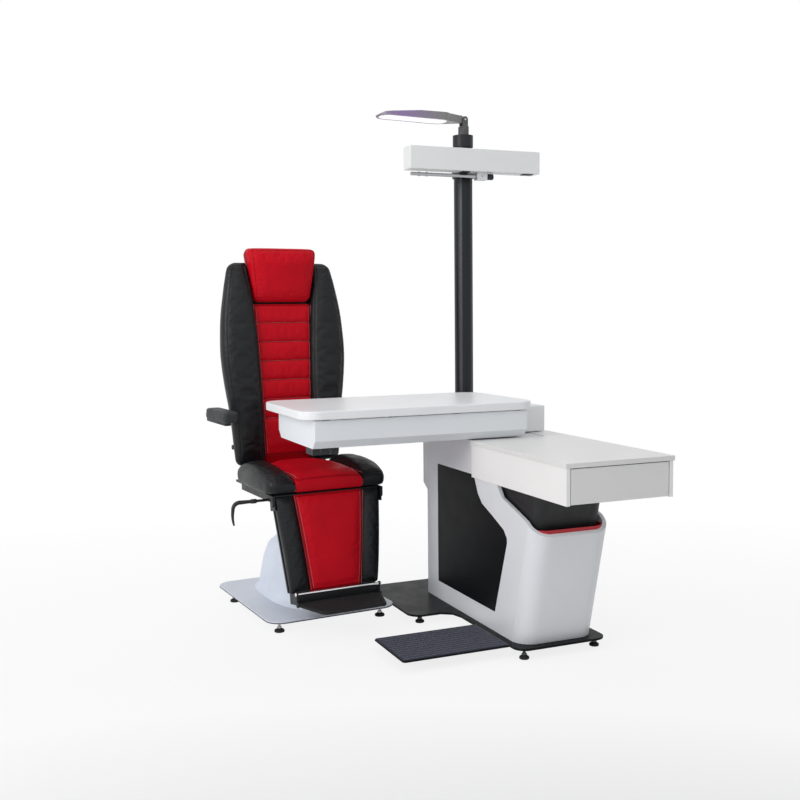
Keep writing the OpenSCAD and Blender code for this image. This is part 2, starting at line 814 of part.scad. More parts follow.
// Phoropter arm
arm_left = arm_right - arm_l;
collar_wall = 8;
collar_gap = 2;
arm_back = -pole_r - run_gap - collar_wall - collar_gap;
pad_w = 80;
rod_y = arm_back - arm_d / 2;
rod_drop = 16;
rod_z = arm_z - rod_drop;
clamp_x = 15;
clamp_l = 46;
clamp_half = 15;
rod_end = clamp_x + clamp_l - 9;
rod_start = rod_end - rod_l;
knob_pin_r = 4;
knob_l = 31;
module at_pole() {
    on_stand() translate([pole_x, pole_y, 0]) children();
}
module arm_collar() {
    color("#1b1c1f") at_pole() difference() {
        union() {
            translate([0, 0, collar_low])
                cylinder(r = pole_r + run_gap + collar_wall, h = arm_z + arm_h - cut - collar_low);
            box([-pad_w / 2, arm_back, arm_z], [pad_w / 2, -pole_r, arm_z + arm_h - cut]);
        }
        translate([0, 0, collar_low - cut])
            cylinder(r = pole_r + run_gap, h = arm_z + arm_h - collar_low + cut);
    }
}
module arm_box() {
    color("#f1f2f2") at_pole() box_shell([arm_left, arm_back - arm_d, arm_z],
        [arm_right, arm_back, arm_z + arm_h], arm_wall);
}
module rod_clamp() {
    color("#b4b7bb") at_pole() difference() {
        box([clamp_x, rod_y - clamp_half, rod_z - clamp_half],
            [clamp_x + clamp_l, rod_y + clamp_half, arm_z]);
        along_x(clamp_x - cut, rod_end + seat_gap, rod_y, rod_z, rod_r + run_gap);
        along_x(clamp_x, clamp_x + clamp_l + cut, rod_y, rod_z, knob_pin_r + run_gap);
    }
}
collar_shares = [0.10, 0.20];
collar_l = 7;
module phoropter_rod() {
    color("#6f7378") at_pole() {
        along_x(rod_start, rod_end, rod_y, rod_z, rod_r);
        for (s = collar_shares)
            along_x(rod_start + s * rod_l, rod_start + s * rod_l + collar_l, rod_y, rod_z,
                rod_r + 2 * cut);
    }
}
module clamp_knob() {
    start = clamp_x + clamp_l;
    color("#131416") at_pole() {
        along_x(rod_end + 2 * seat_gap, start + cut, rod_y, rod_z, knob_pin_r);
        along_x(start + seat_gap, start + knob_l, rod_y, rod_z, knob_r);
    }
}

// Lamp
hinge_x = 4;
hinge_z = cap_top + lamp_rise;
neck_w = 38;
ear_t = 6;
knuckle_half = 10.5;
knuckle_r = 12;
tilt_room = 28;
pin_r = 4;
lamp_x0 = hinge_x - knuckle_r;
lamp_tip = lamp_x0 - lamp_l;
module lamp_neck() {
    stem_h = hinge_z - cap_top - tilt_room;
    color("#2a2c2f") at_pole() {
        translate([0, 0, cap_top - cap_top_t]) cylinder(r = neck_pin_r, h = cap_top_t + cut);
        translate([0, 0, cap_top + seat_gap]) cylinder(r = neck_w / 2, h = stem_h / 2);
        box([-neck_w / 2 + ear_t, -knuckle_half - ear_t, cap_top + seat_gap],
            [neck_w / 2, knuckle_half + ear_t, cap_top + stem_h]);
        for (y = [-knuckle_half - ear_t, knuckle_half]) difference() {
            union() {
                along_y(y, y + ear_t, hinge_x, hinge_z, knuckle_r);
                box([hinge_x - knuckle_r, y, cap_top + stem_h - cut],
                    [hinge_x + knuckle_r, y + ear_t, hinge_z]);
            }
            along_y(-neck_w, neck_w, hinge_x, hinge_z, pin_r + run_gap);
        }
    }
}
module lamp_pin() {
    half = knuckle_half + ear_t;
    color("#c3c6ca") at_pole() along_y(-half, half, hinge_x, hinge_z, pin_r);
}
// Side outline of the lamp head as [share of the length from the hinge, height against the hinge]
lamp_drop = 15;
lamp_side_shares = [[0, 1], [0.55, 1.05], [0.96, 0.25], [1, -0.2], [0.96, -0.6], [0.13, -1.05], [0, -1]];
module lamp_side() {
    rotate([90, 0, 0]) linear_extrude(lamp_w, center = true)
        polygon([for (p = lamp_side_shares) [lamp_x0 - p.x * lamp_l, hinge_z + p.y * lamp_drop]]);
}
lamp_r = 45;
lamp_root = 60;
diffuser_t = 3;
diffuser_edge = 12;
module lamp_plan(inset) {
    translate([lamp_tip + inset, -lamp_w / 2 + inset])
        round_rect([lamp_l - lamp_root - 2 * inset, lamp_w - 2 * inset], lamp_r - inset);
}
function lamp_floor(x) = hinge_z + lamp_drop * lookup((lamp_x0 - x) / lamp_l, [[0.13, -1.05], [0.96, -0.6]]);
module diffuser_form(gap) {
    x0 = lamp_tip + diffuser_edge;
    x1 = lamp_x0 - lamp_root - diffuser_edge;
    intersection() {
        rotate([90, 0, 0]) linear_extrude(lamp_w, center = true)
            polygon([[x0 - cut, lamp_floor(x0) - gap], [x1 + cut, lamp_floor(x1) - gap],
                [x1 + cut, lamp_floor(x1) + diffuser_t + gap / 2],
                [x0 - cut, lamp_floor(x0) + diffuser_t + gap / 2]]);
        translate([0, 0, cap_top]) linear_extrude(2 * lamp_rise) lamp_plan(diffuser_edge - gap / 2);
    }
}
root_half = knuckle_half - seat_gap;
module lamp_head() {
    color("#5b5560") at_pole() difference() {
        union() {
            intersection() {
                lamp_side();
                translate([0, 0, cap_top]) linear_extrude(2 * lamp_rise) union() {
                    lamp_plan(0);
                    polygon([[lamp_x0, -root_half], [lamp_x0, root_half],
                        [lamp_x0 - knuckle_r, root_half],
                        [lamp_x0 - lamp_root - lamp_r, lamp_w / 2],
                        [lamp_x0 - lamp_root - lamp_r, -lamp_w / 2],
                        [lamp_x0 - knuckle_r, -root_half]]);
                }
            }
            along_y(-knuckle_half + seat_gap, knuckle_half - seat_gap, hinge_x, hinge_z, knuckle_r);
            box([lamp_x0 - cut, -knuckle_half + seat_gap, hinge_z],
                [hinge_x, knuckle_half - seat_gap, hinge_z + knuckle_r]);
        }
        along_y(-lamp_w, lamp_w, hinge_x, hinge_z, pin_r + run_gap);
        diffuser_form(seat_gap);
    }
}
module lamp_diffuser() {
    color("#fbfaff") at_pole() diffuser_form(0);
}

// Chair base
module chair_plate() {
    color("#e4e6ea") on_chair() round_plate([-seat_plate_w / 2, -seat_plate_front, plate_top],
        [seat_plate_w, seat_plate_l, seat_plate_t], seat_plate_r);
}
// Chair feet as shares of the plate's half width and length
chair_feet_shares = [[-0.81, 0.071], [0.78, 0.071], [-0.87, 0.78], [0.87, 0.78]];
module chair_feet() {
    color("#202124") on_chair() for (p = chair_feet_shares)
        translate([p.x * seat_plate_w / 2, p.y * seat_plate_l - seat_plate_front, 0])
            levelling_foot(chair_foot_r, plate_top);
}

// The pedestal cover is a stack of rounded rings: [height share, front, back, half width]
cover_front = 62;
cover_back = 590;
cover_half = 150;
cover_shares = [[0, 0, 1, 1], [0.045, 0.028, 0.985, 0.91], [0.14, 0.053, 0.975, 0.85],
    [0.27, 0.076, 0.962, 0.81], [0.48, 0.12, 0.92, 0.785], [0.69, 0.167, 0.86, 0.745],
    [0.85, 0.208, 0.795, 0.69], [0.935, 0.25, 0.72, 0.63], [1, 0.303, 0.663, 0.56]];
ring_n = 28;
ring_power = 1.4;
function signed_pow(v, p) = sign(v) * pow(abs(v), p);
function cover_ring(k, inset) = let (c = cover_shares[k], span = cover_back - cover_front,
        y0 = cover_front + c[1] * span + inset, y1 = cover_front + c[2] * span - inset)
    [for (i = [0:ring_n - 1]) let (a = 360 * i / ring_n)
        [(c[3] * cover_half - inset) * signed_pow(cos(a), 1 / ring_power),
         (y0 + y1) / 2 + (y1 - y0) / 2 * signed_pow(sin(a), 1 / ring_power),
         chair_top + c[0] * cover_h - (k == 0 ? (inset > 0 ? cut : 0) : inset)]];
module cover_form(inset) {
    levels = len(cover_shares);
    points = [for (k = [0:levels - 1]) each cover_ring(k, inset)];
    last = (levels - 1) * ring_n;
    faces = concat(
        [for (i = [1:ring_n - 2]) [0, i, i + 1]],
        [for (i = [1:ring_n - 2]) [last, last + i + 1, last + i]],
        [for (k = [0:levels - 2], i = [0:ring_n - 1]) let (n = (i + 1) % ring_n)
            [k * ring_n + i, (k + 1) * ring_n + i, (k + 1) * ring_n + n]],
        [for (k = [0:levels - 2], i = [0:ring_n - 1]) let (n = (i + 1) % ring_n)
            [k * ring_n + i, (k + 1) * ring_n + n, k * ring_n + n]]);
    polyhedron(points, faces);
}
upper_half = 60;
upper_front = 235;
upper_back = 399;
upper_r = 25;
upper_low_share = 0.6034;
upper_low = chair_top + upper_low_share * cover_h;
cover_gap = 4;
frame_low = seat_z - seat_board_t - seat_rail_h;
module pedestal_cover() {
    color("#dfe2e8") on_chair() difference() {
        cover_form(0);
        cover_form(cover_wall);
        round_plate([-upper_half - cover_gap, upper_front - cover_gap, upper_low],
            [2 * (upper_half + cover_gap), upper_back - upper_front + 2 * cover_gap, cover_h],
            upper_r + cover_gap);
    }
}
module upper_cover() {
    size = [2 * upper_half, upper_back - upper_front, frame_low - upper_low];
    color("#e9ebef") on_chair() difference() {
        round_plate([-upper_half, upper_front, upper_low], size, upper_r);
        round_plate([cover_wall - upper_half, upper_front + cover_wall, upper_low - cut],
            size + [-2 * cover_wall, -2 * cover_wall, 2 * cut], upper_r - cover_wall);
    }
}
lift_travel = 60;
lift_lap = 70;
lift_top = upper_low + lift_lap;
module lift_outer() {
    color("#5d6167") on_chair() translate([0, lift_y, 0]) {
        ring(lift_r + lift_wall, lift_r + run_gap, chair_top, lift_top);
    }
}
module lift_inner() {
    color("#b9bdc2") on_chair() translate([0, lift_y, chair_top + lift_travel])
        cylinder(r = lift_r, h = frame_low - chair_top - lift_travel);
}

// Seat
rail_x = 190;
rail_w = 15;
board_half = 228;
board_setback = 66;
board_front = seat_front + board_setback;
frame_gap = 35;
frame_back = back_y - frame_gap;
cross_half = 90;
lug_x = 168;
lug_t = 8;
lug_up = -30;
lug_r = 14;
lug_gap = 1;
pin_back_r = 8;
flange_t = 4;
leg_ear_x = leg_half + flange_t + lug_gap;
leg_ear_t = 5;
leg_pin_r = 6;
lever_y = 115;
lever_r = 6;
lever_z = frame_low + lever_r;
// The back's hinge line lies in the back shell's middle, below the cushions' foot
function back_point(up, out) = [back_y + up * sin(back_tilt) - out * cos(back_tilt),
    back_z + up * cos(back_tilt) + out * sin(back_tilt)];
ear_y = back_point(lug_up, -shell_t / 2).x;
ear_z = back_point(lug_up, -shell_t / 2).y;
module seat_frame_side() {
    board_low = seat_z - seat_board_t;
    ear_x = lug_x + lug_t + lug_gap;
    box([rail_x, board_front, frame_low], [rail_x + rail_w, frame_back, board_low]);
    box([ear_x, frame_back - 2 * lug_r, board_low - seat_board_t], [ear_x + lug_t, ear_y, seat_z]);
    box([ear_x, ear_y - lug_r, board_low - seat_board_t], [ear_x + lug_t, ear_y + lug_r, ear_z]);
    along_x(ear_x, ear_x + lug_t, ear_y, ear_z, lug_r);
    along_x(lug_x, ear_x + cut, ear_y, ear_z, pin_back_r);
    box([leg_ear_x, leg_y - 2 * leg_pin_r, leg_z],
        [leg_ear_x + leg_ear_t, leg_y + 2 * leg_pin_r, board_low]);
    box([leg_ear_x, leg_y, board_low - 2 * leg_pin_r],
        [leg_ear_x + leg_ear_t, board_front + cut, board_low]);
    box([rail_x, board_front, board_low - 2 * leg_pin_r],
        [leg_ear_x + leg_ear_t, board_front + seat_rail_h, board_low]);
    along_x(leg_ear_x, leg_ear_x + leg_ear_t, leg_y, leg_z, 2 * leg_pin_r);
    along_x(leg_half + cut, leg_ear_x + cut, leg_y, leg_z, leg_pin_r);
}
module seat_frame() {
    color("#3b3e43") on_chair() difference() {
        union() {
            box([-board_half, board_front, seat_z - seat_board_t], [board_half, frame_back, seat_z]);
            box([-rail_x, lift_y - cross_half, frame_low],
                [rail_x, lift_y + cross_half, frame_low + seat_board_t]);
            seat_frame_side();
            mirror([1, 0, 0]) seat_frame_side();
        }
        along_x(-rail_x - rail_w - cut, -rail_x + cut, lever_y, lever_z, lever_r + run_gap);
    }
}
bolster_rise_shares = [[0, 0.74], [0.1, 0.79], [0.33, 0.93], [0.65, 1], [1, 0.95]];
insert_rise_shares = [[0, 0.88], [0.1, 0.92], [0.6, 0.96], [1, 1]];
insert_side_shares = [[0, 1], [0.88, 0.82], [0.93, 0.74], [1, 0.72]];
bolster_side_shares = [[0, 0.93], [0.06, 0.97], [0.2, 1], [1, 1]];
function sized(table, size) = [for (p = table) [p[0], p[1] * size]];
cushion_tuck = 8;
wing_tuck = 20;
crown = 4;
module seat_bolsters() {
    color("#202225") on_chair() for (side = [0, 1]) mirror([side, 0, 0])
        translate([0, seat_front, seat_z]) pad(eased_rows(14), sized(bolster_side_shares, -seat_half),
            [[0, -insert_half - seam], [1, -insert_half - seam]], sized(bolster_rise_shares, bolster_t),
            10, bolster_l, cushion_tuck, crown);
}
module seat_insert() {
    color("#c0101f") on_chair() translate([0, seat_front, seat_z])
        pad(eased_rows(16), sized(insert_side_shares, -insert_half),
            sized(insert_side_shares, insert_half), sized(insert_rise_shares, insert_t),
            12, insert_l, cushion_tuck, crown);
}

// Leg rest
leg_top = 26;
leg_foot_share = 0.83;
leg_foot_half = leg_half * leg_foot_share;
leg_red_foot_share = 0.72;
leg_red_foot_half = leg_red_half * leg_red_foot_share;
leg_back_t = 12;
leg_low = leg_top - leg_l;
pad_plane = -20;
board_out = pad_plane - leg_back_t - seat_gap;
rod_up = leg_low - hinge_r / 2;
rod_gap = 2;
rod_out = leg_t + pad_plane + hinge_r + rod_gap;
foot_drop = 41;
foot_up = leg_low - foot_drop;
foot_out = 36;
foot_pin_r = 5;
bracket_x = foot_plate_half + lug_gap;
bracket_t = 6;
bracket_half = 10;
module legrest_side() {
    box([leg_foot_half, -leg_top, board_out], [leg_half + cut, leg_top, board_out + leg_back_t]);
    box([leg_half, -leg_top, board_out], [leg_half + flange_t, leg_top, 2 * leg_pin_r]);
    box([bracket_x, foot_up, board_out],
        [bracket_x + bracket_t, leg_low + leg_back_t, pad_plane - seat_gap]);
    box([bracket_x, foot_up, board_out], [bracket_x + bracket_t, leg_low - cut, rod_out]);
    along_x(bracket_x, bracket_x + bracket_t, rod_up, rod_out, bracket_half * 4 / 5);
    along_x(bracket_x, bracket_x + bracket_t, foot_up, foot_out, bracket_half);
}
module legrest_board() {
    color("#2a2c30") on_chair() on_leg() difference() {
        union() {
            translate([0, 0, board_out]) linear_extrude(leg_back_t)
                polygon([[-leg_half, leg_top], [leg_half, leg_top], [leg_foot_half, leg_low],
                    [-leg_foot_half, leg_low]]);
            legrest_side();
            mirror([1, 0, 0]) legrest_side();
            box([-bracket_x, leg_low - 3 * hinge_r, board_out],
                [bracket_x, leg_low + cut, board_out + leg_back_t]);
        }
        for (x = [-leg_half - flange_t - cut, leg_half - cut])
            along_x(x, x + flange_t + 2 * cut, 0, 0, leg_pin_r + run_gap);
        along_x(-leg_half, leg_half, rod_up, rod_out, hinge_r + run_gap);
        along_x(-leg_half, leg_half, foot_up, foot_out, foot_pin_r + run_gap);
    }
}
leg_t_shares = [[0, 0.95], [0.5, 1], [1, 0.9]];
module legrest_pad() {
    color("#1d1f22") on_chair() on_leg() for (side = [0, 1]) mirror([side, 0, 0])
        translate([0, leg_low, pad_plane])
            pad(eased_rows(12), [[0, -leg_foot_half + seam], [1, -leg_half + seam]],
                [[0, -leg_red_foot_half - seam], [1, -leg_red_half - seam]],
                sized(leg_t_shares, leg_t), 8, leg_l, cushion_tuck, crown);
}
module legrest_insert() {
    color("#c0101f") on_chair() on_leg() translate([0, leg_low, pad_plane])
        pad(eased_rows(12), [[0, -leg_red_foot_half], [1, -leg_red_half]],
            [[0, leg_red_foot_half], [1, leg_red_half]], sized(leg_t_shares, leg_t),
            10, leg_l, cushion_tuck, crown);
}
module hinge_rod() {
    color("#d5d8db") on_chair() on_leg()
        along_x(-bracket_x - bracket_t, bracket_x + bracket_t, rod_up, rod_out, hinge_r);
}
// The foot plate lies level, so it is drawn in the chair's axes from its hinge line
foot_at_y = leg_y + foot_up * sin(leg_tilt) - foot_out * cos(leg_tilt);
foot_at_z = leg_z + foot_up * cos(leg_tilt) + foot_out * sin(leg_tilt);
foot_heel = 10;
foot_taper_share = 0.78;
toe_r = 12;
module foot_plate() {
    near = foot_at_y + foot_heel;
    far = foot_at_y - foot_plate_d;
    narrow = foot_plate_half * foot_taper_share;
    color("#16171a") on_chair() difference() {
        union() {
            translate([0, 0, foot_at_z - foot_plate_t / 2]) linear_extrude(foot_plate_t) {
                polygon([[-foot_plate_half, near], [foot_plate_half, near],
                    [foot_plate_half, foot_at_y - foot_heel], [narrow, far + toe_r], [narrow - toe_r, far],
                    [toe_r - narrow, far], [-narrow, far + toe_r],
                    [-foot_plate_half, foot_at_y - foot_heel]]);
            }
            along_x(-bracket_x - bracket_t, bracket_x + bracket_t, foot_at_y, foot_at_z, foot_pin_r);
        }
    }
}

// Backrest
wing_outer_shares = [[0, 0.84], [0.06, 0.856], [0.19, 0.885], [0.3, 0.92], [0.35, 0.943],
    [0.45, 0.98], [0.54, 1], [0.64, 0.993], [0.75, 0.965], [0.84, 0.92], [0.925, 0.87],
    [0.98, 0.825], [1, 0.79]];
wing_inner_shares = [[0, 0.83], [0.04, 0.832], [0.79, 1], [1, 1.165]];
wing_t_shares = [[0, 0.9], [0.2, 1], [0.8, 1], [1, 0.9]];
module shell_outline() {
    points = [for (p = wing_outer_shares)
        [p[1] * back_half - shell_edge, p[0] * (wing_l - shell_edge / 3)]];
    polygon(concat(points, [for (i = [len(points) - 1:-1:0]) [-points[i].x, points[i].y]]));
}
shell_edge = 32;
post_x = 55;
post_low_share = 0.72;
post_low = wing_l * post_low_share;
post_rise = 20;
post_top = wing_l + post_rise;
pin_depth = 26;
side_at_arm = lookup(arm_pivot / wing_l, wing_outer_shares) * back_half - shell_edge;
knob_up = 75;
side_at_knob = lookup(knob_up / wing_l, wing_outer_shares) * back_half - shell_edge;
back_knob_r = 10;
back_knob_l = 30;
module back_shell() {
    color("#1a1b1e") on_chair() on_back() difference() {
        union() {
            translate([0, 0, -shell_t - seat_gap]) linear_extrude(shell_t) shell_outline();
            for (side = [-1, 1]) {
                x0 = side < 0 ? -lug_x - lug_t : lug_x;
                box([x0, lug_up, -shell_t - seat_gap], [x0 + lug_t, lug_r, -seat_gap]);
                along_x(x0, x0 + lug_t, lug_up, -shell_t / 2, shell_t / 2 - seat_gap);
            }
        }
        for (x = [-post_x, post_x]) translate([x, post_low - 2 * cut, -shell_t / 2]) rotate([-90, 0, 0])
            cylinder(r = post_r + run_gap, h = wing_l);
        along_x(-lug_x - lug_t - cut, -lug_x + cut, lug_up, -shell_t / 2, pin_back_r + run_gap);
        along_x(lug_x - cut, lug_x + lug_t + cut, lug_up, -shell_t / 2, pin_back_r + run_gap);
        along_x(-back_half, pin_depth - side_at_arm, arm_pivot, -shell_t / 2, arm_pin_r + run_gap);
        along_x(side_at_arm - pin_depth, back_half, arm_pivot, -shell_t / 2, arm_pin_r + run_gap);
        along_x(-back_half, pin_depth - side_at_knob, knob_up, -shell_t / 2, knob_pin_r + run_gap);
    }
}
module back_bolsters() {
    color("#202225") on_chair() on_back() for (side = [0, 1]) mirror([side, 0, 0])
        pad(eased_rows(20), sized(wing_outer_shares, -back_half),
            [for (p = wing_inner_shares) [p[0], -p[1] * channel_half - seam]],
            sized(wing_t_shares, wing_t), 12, wing_l, wing_tuck, 2 * crown);
}
panel_low_share = 0.83;
module back_panel() {
    color("#c8101f") on_chair() on_back() translate([0, channel_start, 0])
        pad(even_rows(4 * channels), [[0, -channel_half * panel_low_share], [1, -channel_half]],
            [[0, channel_half * panel_low_share], [1, channel_half]], [[0, channel_t], [1, channel_t]], 12,
            channel_l, cushion_tuck / 2, crown, 0.2, channels);
}
headrest_gap = 8;
headrest_low = channel_start + channel_l + headrest_gap;
headrest_t_shares = [[0, 0.6], [0.5, 0.85], [0.85, 1], [1, 0.96]];
headrest_half_shares = [[0, 0.98], [1, 1.2]];
module headrest() {
    color("#c8101f") on_chair() on_back() translate([0, headrest_low, 0])
        pad(eased_rows(14), sized(headrest_half_shares, -channel_half),
            sized(headrest_half_shares, channel_half), sized(headrest_t_shares, headrest_t),
            14, headrest_l, cushion_tuck, crown);
}
module headrest_posts() {
    color("#c9ccd0") on_chair() on_back() {
        for (x = [-post_x, post_x]) translate([x, post_low, -shell_t / 2]) rotate([-90, 0, 0])
            cylinder(r = post_r, h = post_top + post_r - post_low);
        box([-post_x - 2 * post_r, post_top, -shell_t / 2 - post_r],
            [post_x + 2 * post_r, post_top + 2 * post_r, -seat_gap]);
    }
}

module back_knob() {
    color("#131416") on_chair() on_back() {
        along_x(-side_at_knob - 3 * cut, pin_depth - cut - side_at_knob, knob_up, -shell_t / 2,
            knob_pin_r);
        along_x(-side_at_knob - back_knob_l, -side_at_knob - 2 * cut, knob_up, -shell_t / 2, back_knob_r);
    }
}

// Armrests, drawn for the right-hand side and mirrored
arm_axis = back_point(arm_pivot, -shell_t / 2);
arm_rise = -10;
arm_setback = 41;
arm_reach_share = 0.8;
arm_bar_t = 14;
arm_bar_w = 24;
module armrest() {
    pad_z = arm_axis.y + arm_rise;
    pad_back = arm_axis.x - arm_setback;
    along_x(side_at_arm - pin_depth + cut, arm_pad_x + arm_bar_w / 2, arm_axis.x, arm_axis.y, arm_pin_r);
    along_x(arm_pad_x - arm_bar_w / 2, arm_pad_x + arm_bar_w / 2, arm_axis.x, arm_axis.y, 2 * arm_pin_r);
    box([arm_pad_x - arm_bar_w / 2, pad_back - arm_pad_l * arm_reach_share, pad_z - arm_bar_t],
        [arm_pad_x + arm_bar_w / 2, arm_axis.x, pad_z]);
    round_plate([arm_pad_x - arm_pad_w / 2, pad_back - arm_pad_l, pad_z],
        [arm_pad_w, arm_pad_l, arm_pad_t], arm_pad_w / 2 - cut);
}
module armrest_left() {
    color("#1e1f22") on_chair() mirror([1, 0, 0]) armrest();
}
module armrest_right() {
    color("#1e1f22") on_chair() armrest();
}
lever_reach = 318;
grip_r = 7;
grip_bend = 25;
grip_l = 56;
module recline_lever() {
    color("#151618") on_chair() {
        along_x(-lever_reach, -rail_x - cut, lever_y, lever_z, lever_r);
        translate([-lever_reach, lever_y, lever_z - grip_bend]) rotate([90, 0, 0])
            rotate([0, 0, 90]) rotate_extrude(angle = 90) translate([grip_bend, 0]) circle(grip_r);
        translate([-lever_reach - grip_bend, lever_y, lever_z - grip_bend - grip_l])
            cylinder(r = grip_r, h = grip_l);
        translate([-lever_reach - grip_bend, lever_y, lever_z - grip_bend - grip_l]) sphere(grip_r);
    }
}

base_plate();
table_feet();
step_plate();
step_mat();
cabinet_shell();
left_inset_panel();
right_inset_panel();
inner_body();
trough_trim();
mast_housing();
pole_clamps();
pole();
pole_cap();
side_carcass();
side_top();
drawer_runners();
drawer_box();
drawer_front();
swing_bearing();
swing_spindle();
swing_head();
tray_body();
table_top();
top_spacers();
control_box();
button_up();
button_down();
power_inlet();
arm_collar();
arm_box();
rod_clamp();
phoropter_rod();
clamp_knob();
lamp_neck();
lamp_pin();
lamp_head();
lamp_diffuser();
chair_plate();
chair_feet();
pedestal_cover();
lift_outer();
lift_inner();
upper_cover();
seat_frame();
seat_bolsters();
seat_insert();
legrest_board();
legrest_pad();
legrest_insert();
hinge_rod();
foot_plate();
back_shell();
back_bolsters();
back_panel();
headrest();
headrest_posts();
armrest_left();
armrest_right();
recline_lever();
back_knob();
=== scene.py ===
import math

import bmesh
import bpy
import numpy as np
from bpy.props import FloatProperty, FloatVectorProperty, IntProperty, PointerProperty
from mathutils import Matrix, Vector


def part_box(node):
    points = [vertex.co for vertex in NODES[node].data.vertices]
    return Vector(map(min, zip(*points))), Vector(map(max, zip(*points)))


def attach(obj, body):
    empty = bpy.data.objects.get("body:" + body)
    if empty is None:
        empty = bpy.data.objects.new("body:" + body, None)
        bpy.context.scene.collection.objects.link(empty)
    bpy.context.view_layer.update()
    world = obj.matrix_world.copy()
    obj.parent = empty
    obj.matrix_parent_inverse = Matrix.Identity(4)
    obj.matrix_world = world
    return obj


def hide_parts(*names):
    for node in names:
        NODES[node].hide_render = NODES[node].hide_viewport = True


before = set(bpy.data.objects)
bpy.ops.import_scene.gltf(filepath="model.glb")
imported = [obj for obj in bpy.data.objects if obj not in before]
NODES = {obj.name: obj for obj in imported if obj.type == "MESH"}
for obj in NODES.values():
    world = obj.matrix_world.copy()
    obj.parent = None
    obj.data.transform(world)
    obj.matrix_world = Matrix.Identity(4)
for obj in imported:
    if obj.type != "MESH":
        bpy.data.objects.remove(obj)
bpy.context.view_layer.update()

bl_info = {
    "name": "Eye-test chair and stand",
    "version": (1, 0, 0),
    "blender": (4, 5, 0),
    "location": "View3D > Sidebar > Eye Unit",
    "description": "Dresses the packed eye-test chair, stand, swing table and lamp with finished pieces",
    "category": "Add Mesh",
}

# Places of the parts as in the part's source, in metres and degrees
STAND_AT = (0.2987, 0.0302)
CHAIR_AT, CHAIR_TURN = (-0.3023, 0.1442), 4.5
BACK_AT, BACK_LEAN = (0.455, 0.560), 4.9
LEG_AT, LEG_LEAN = (0.030, 0.474), 9.5
SEAT_FRONT, SEAT_UP = 0.008, 0.511
PAD_PLANE = -0.020
POLE_X, POLE_Y, POLE_R, POLE_TOP = 0.083, 0.372, 0.038, 1.88
ROD_Y, ROD_Z = 0.28795, 1.712
ARM_OUT, ARM_Y, ARM_Z = 0.309, 0.48398, 0.76929
FOOT_HALF, FOOT_Y, FOOT_Z = 0.162, -0.06707, 0.11205

# The photograph's viewpoint: place, then yaw, pitch and roll in degrees, then focal length in millimetres
CAMERA_AT = (-1.5413, -3.4598, 1.170)
CAMERA_TURN = (22.8996, 4.8879, -0.58866)
CAMERA_LENS = 46.43


# Places

def chair_place(p):
    """Chair axes (across, back, up) to the frame: a turn about Z, then a shift."""
    p = np.asarray(p, float)
    c, s = math.cos(math.radians(CHAIR_TURN)), math.sin(math.radians(CHAIR_TURN))
    return np.stack([CHAIR_AT[0] + c * p[..., 0] - s * p[..., 1],
                     CHAIR_AT[1] + s * p[..., 0] + c * p[..., 1], p[..., 2]], -1)


def leaning_place(at, lean, p):
    """Axes that lean back (across, up along the lean, out of the front) to the frame."""
    p = np.asarray(p, float)
    c, s = math.cos(math.radians(lean)), math.sin(math.radians(lean))
    return chair_place(np.stack([p[..., 0], at[0] + s * p[..., 1] - c * p[..., 2],
                                 at[1] + c * p[..., 1] + s * p[..., 2]], -1))


def back_place(p):
    return leaning_place(BACK_AT, BACK_LEAN, p)


def leg_place(p):
    return leaning_place(LEG_AT, LEG_LEAN, p)


def leg_pad_place(p):
    return leg_place(np.asarray(p, float) + np.array([0, 0, PAD_PLANE]))


def seat_place(p):
    return chair_place(np.asarray(p, float) + np.array([0, SEAT_FRONT, SEAT_UP]))


def stand_place(p):
    """Stand axes (right, back, up) to the frame: a shift."""
    return np.asarray(p, float) + np.array([STAND_AT[0], STAND_AT[1], 0.0])


# Meshes from arrays

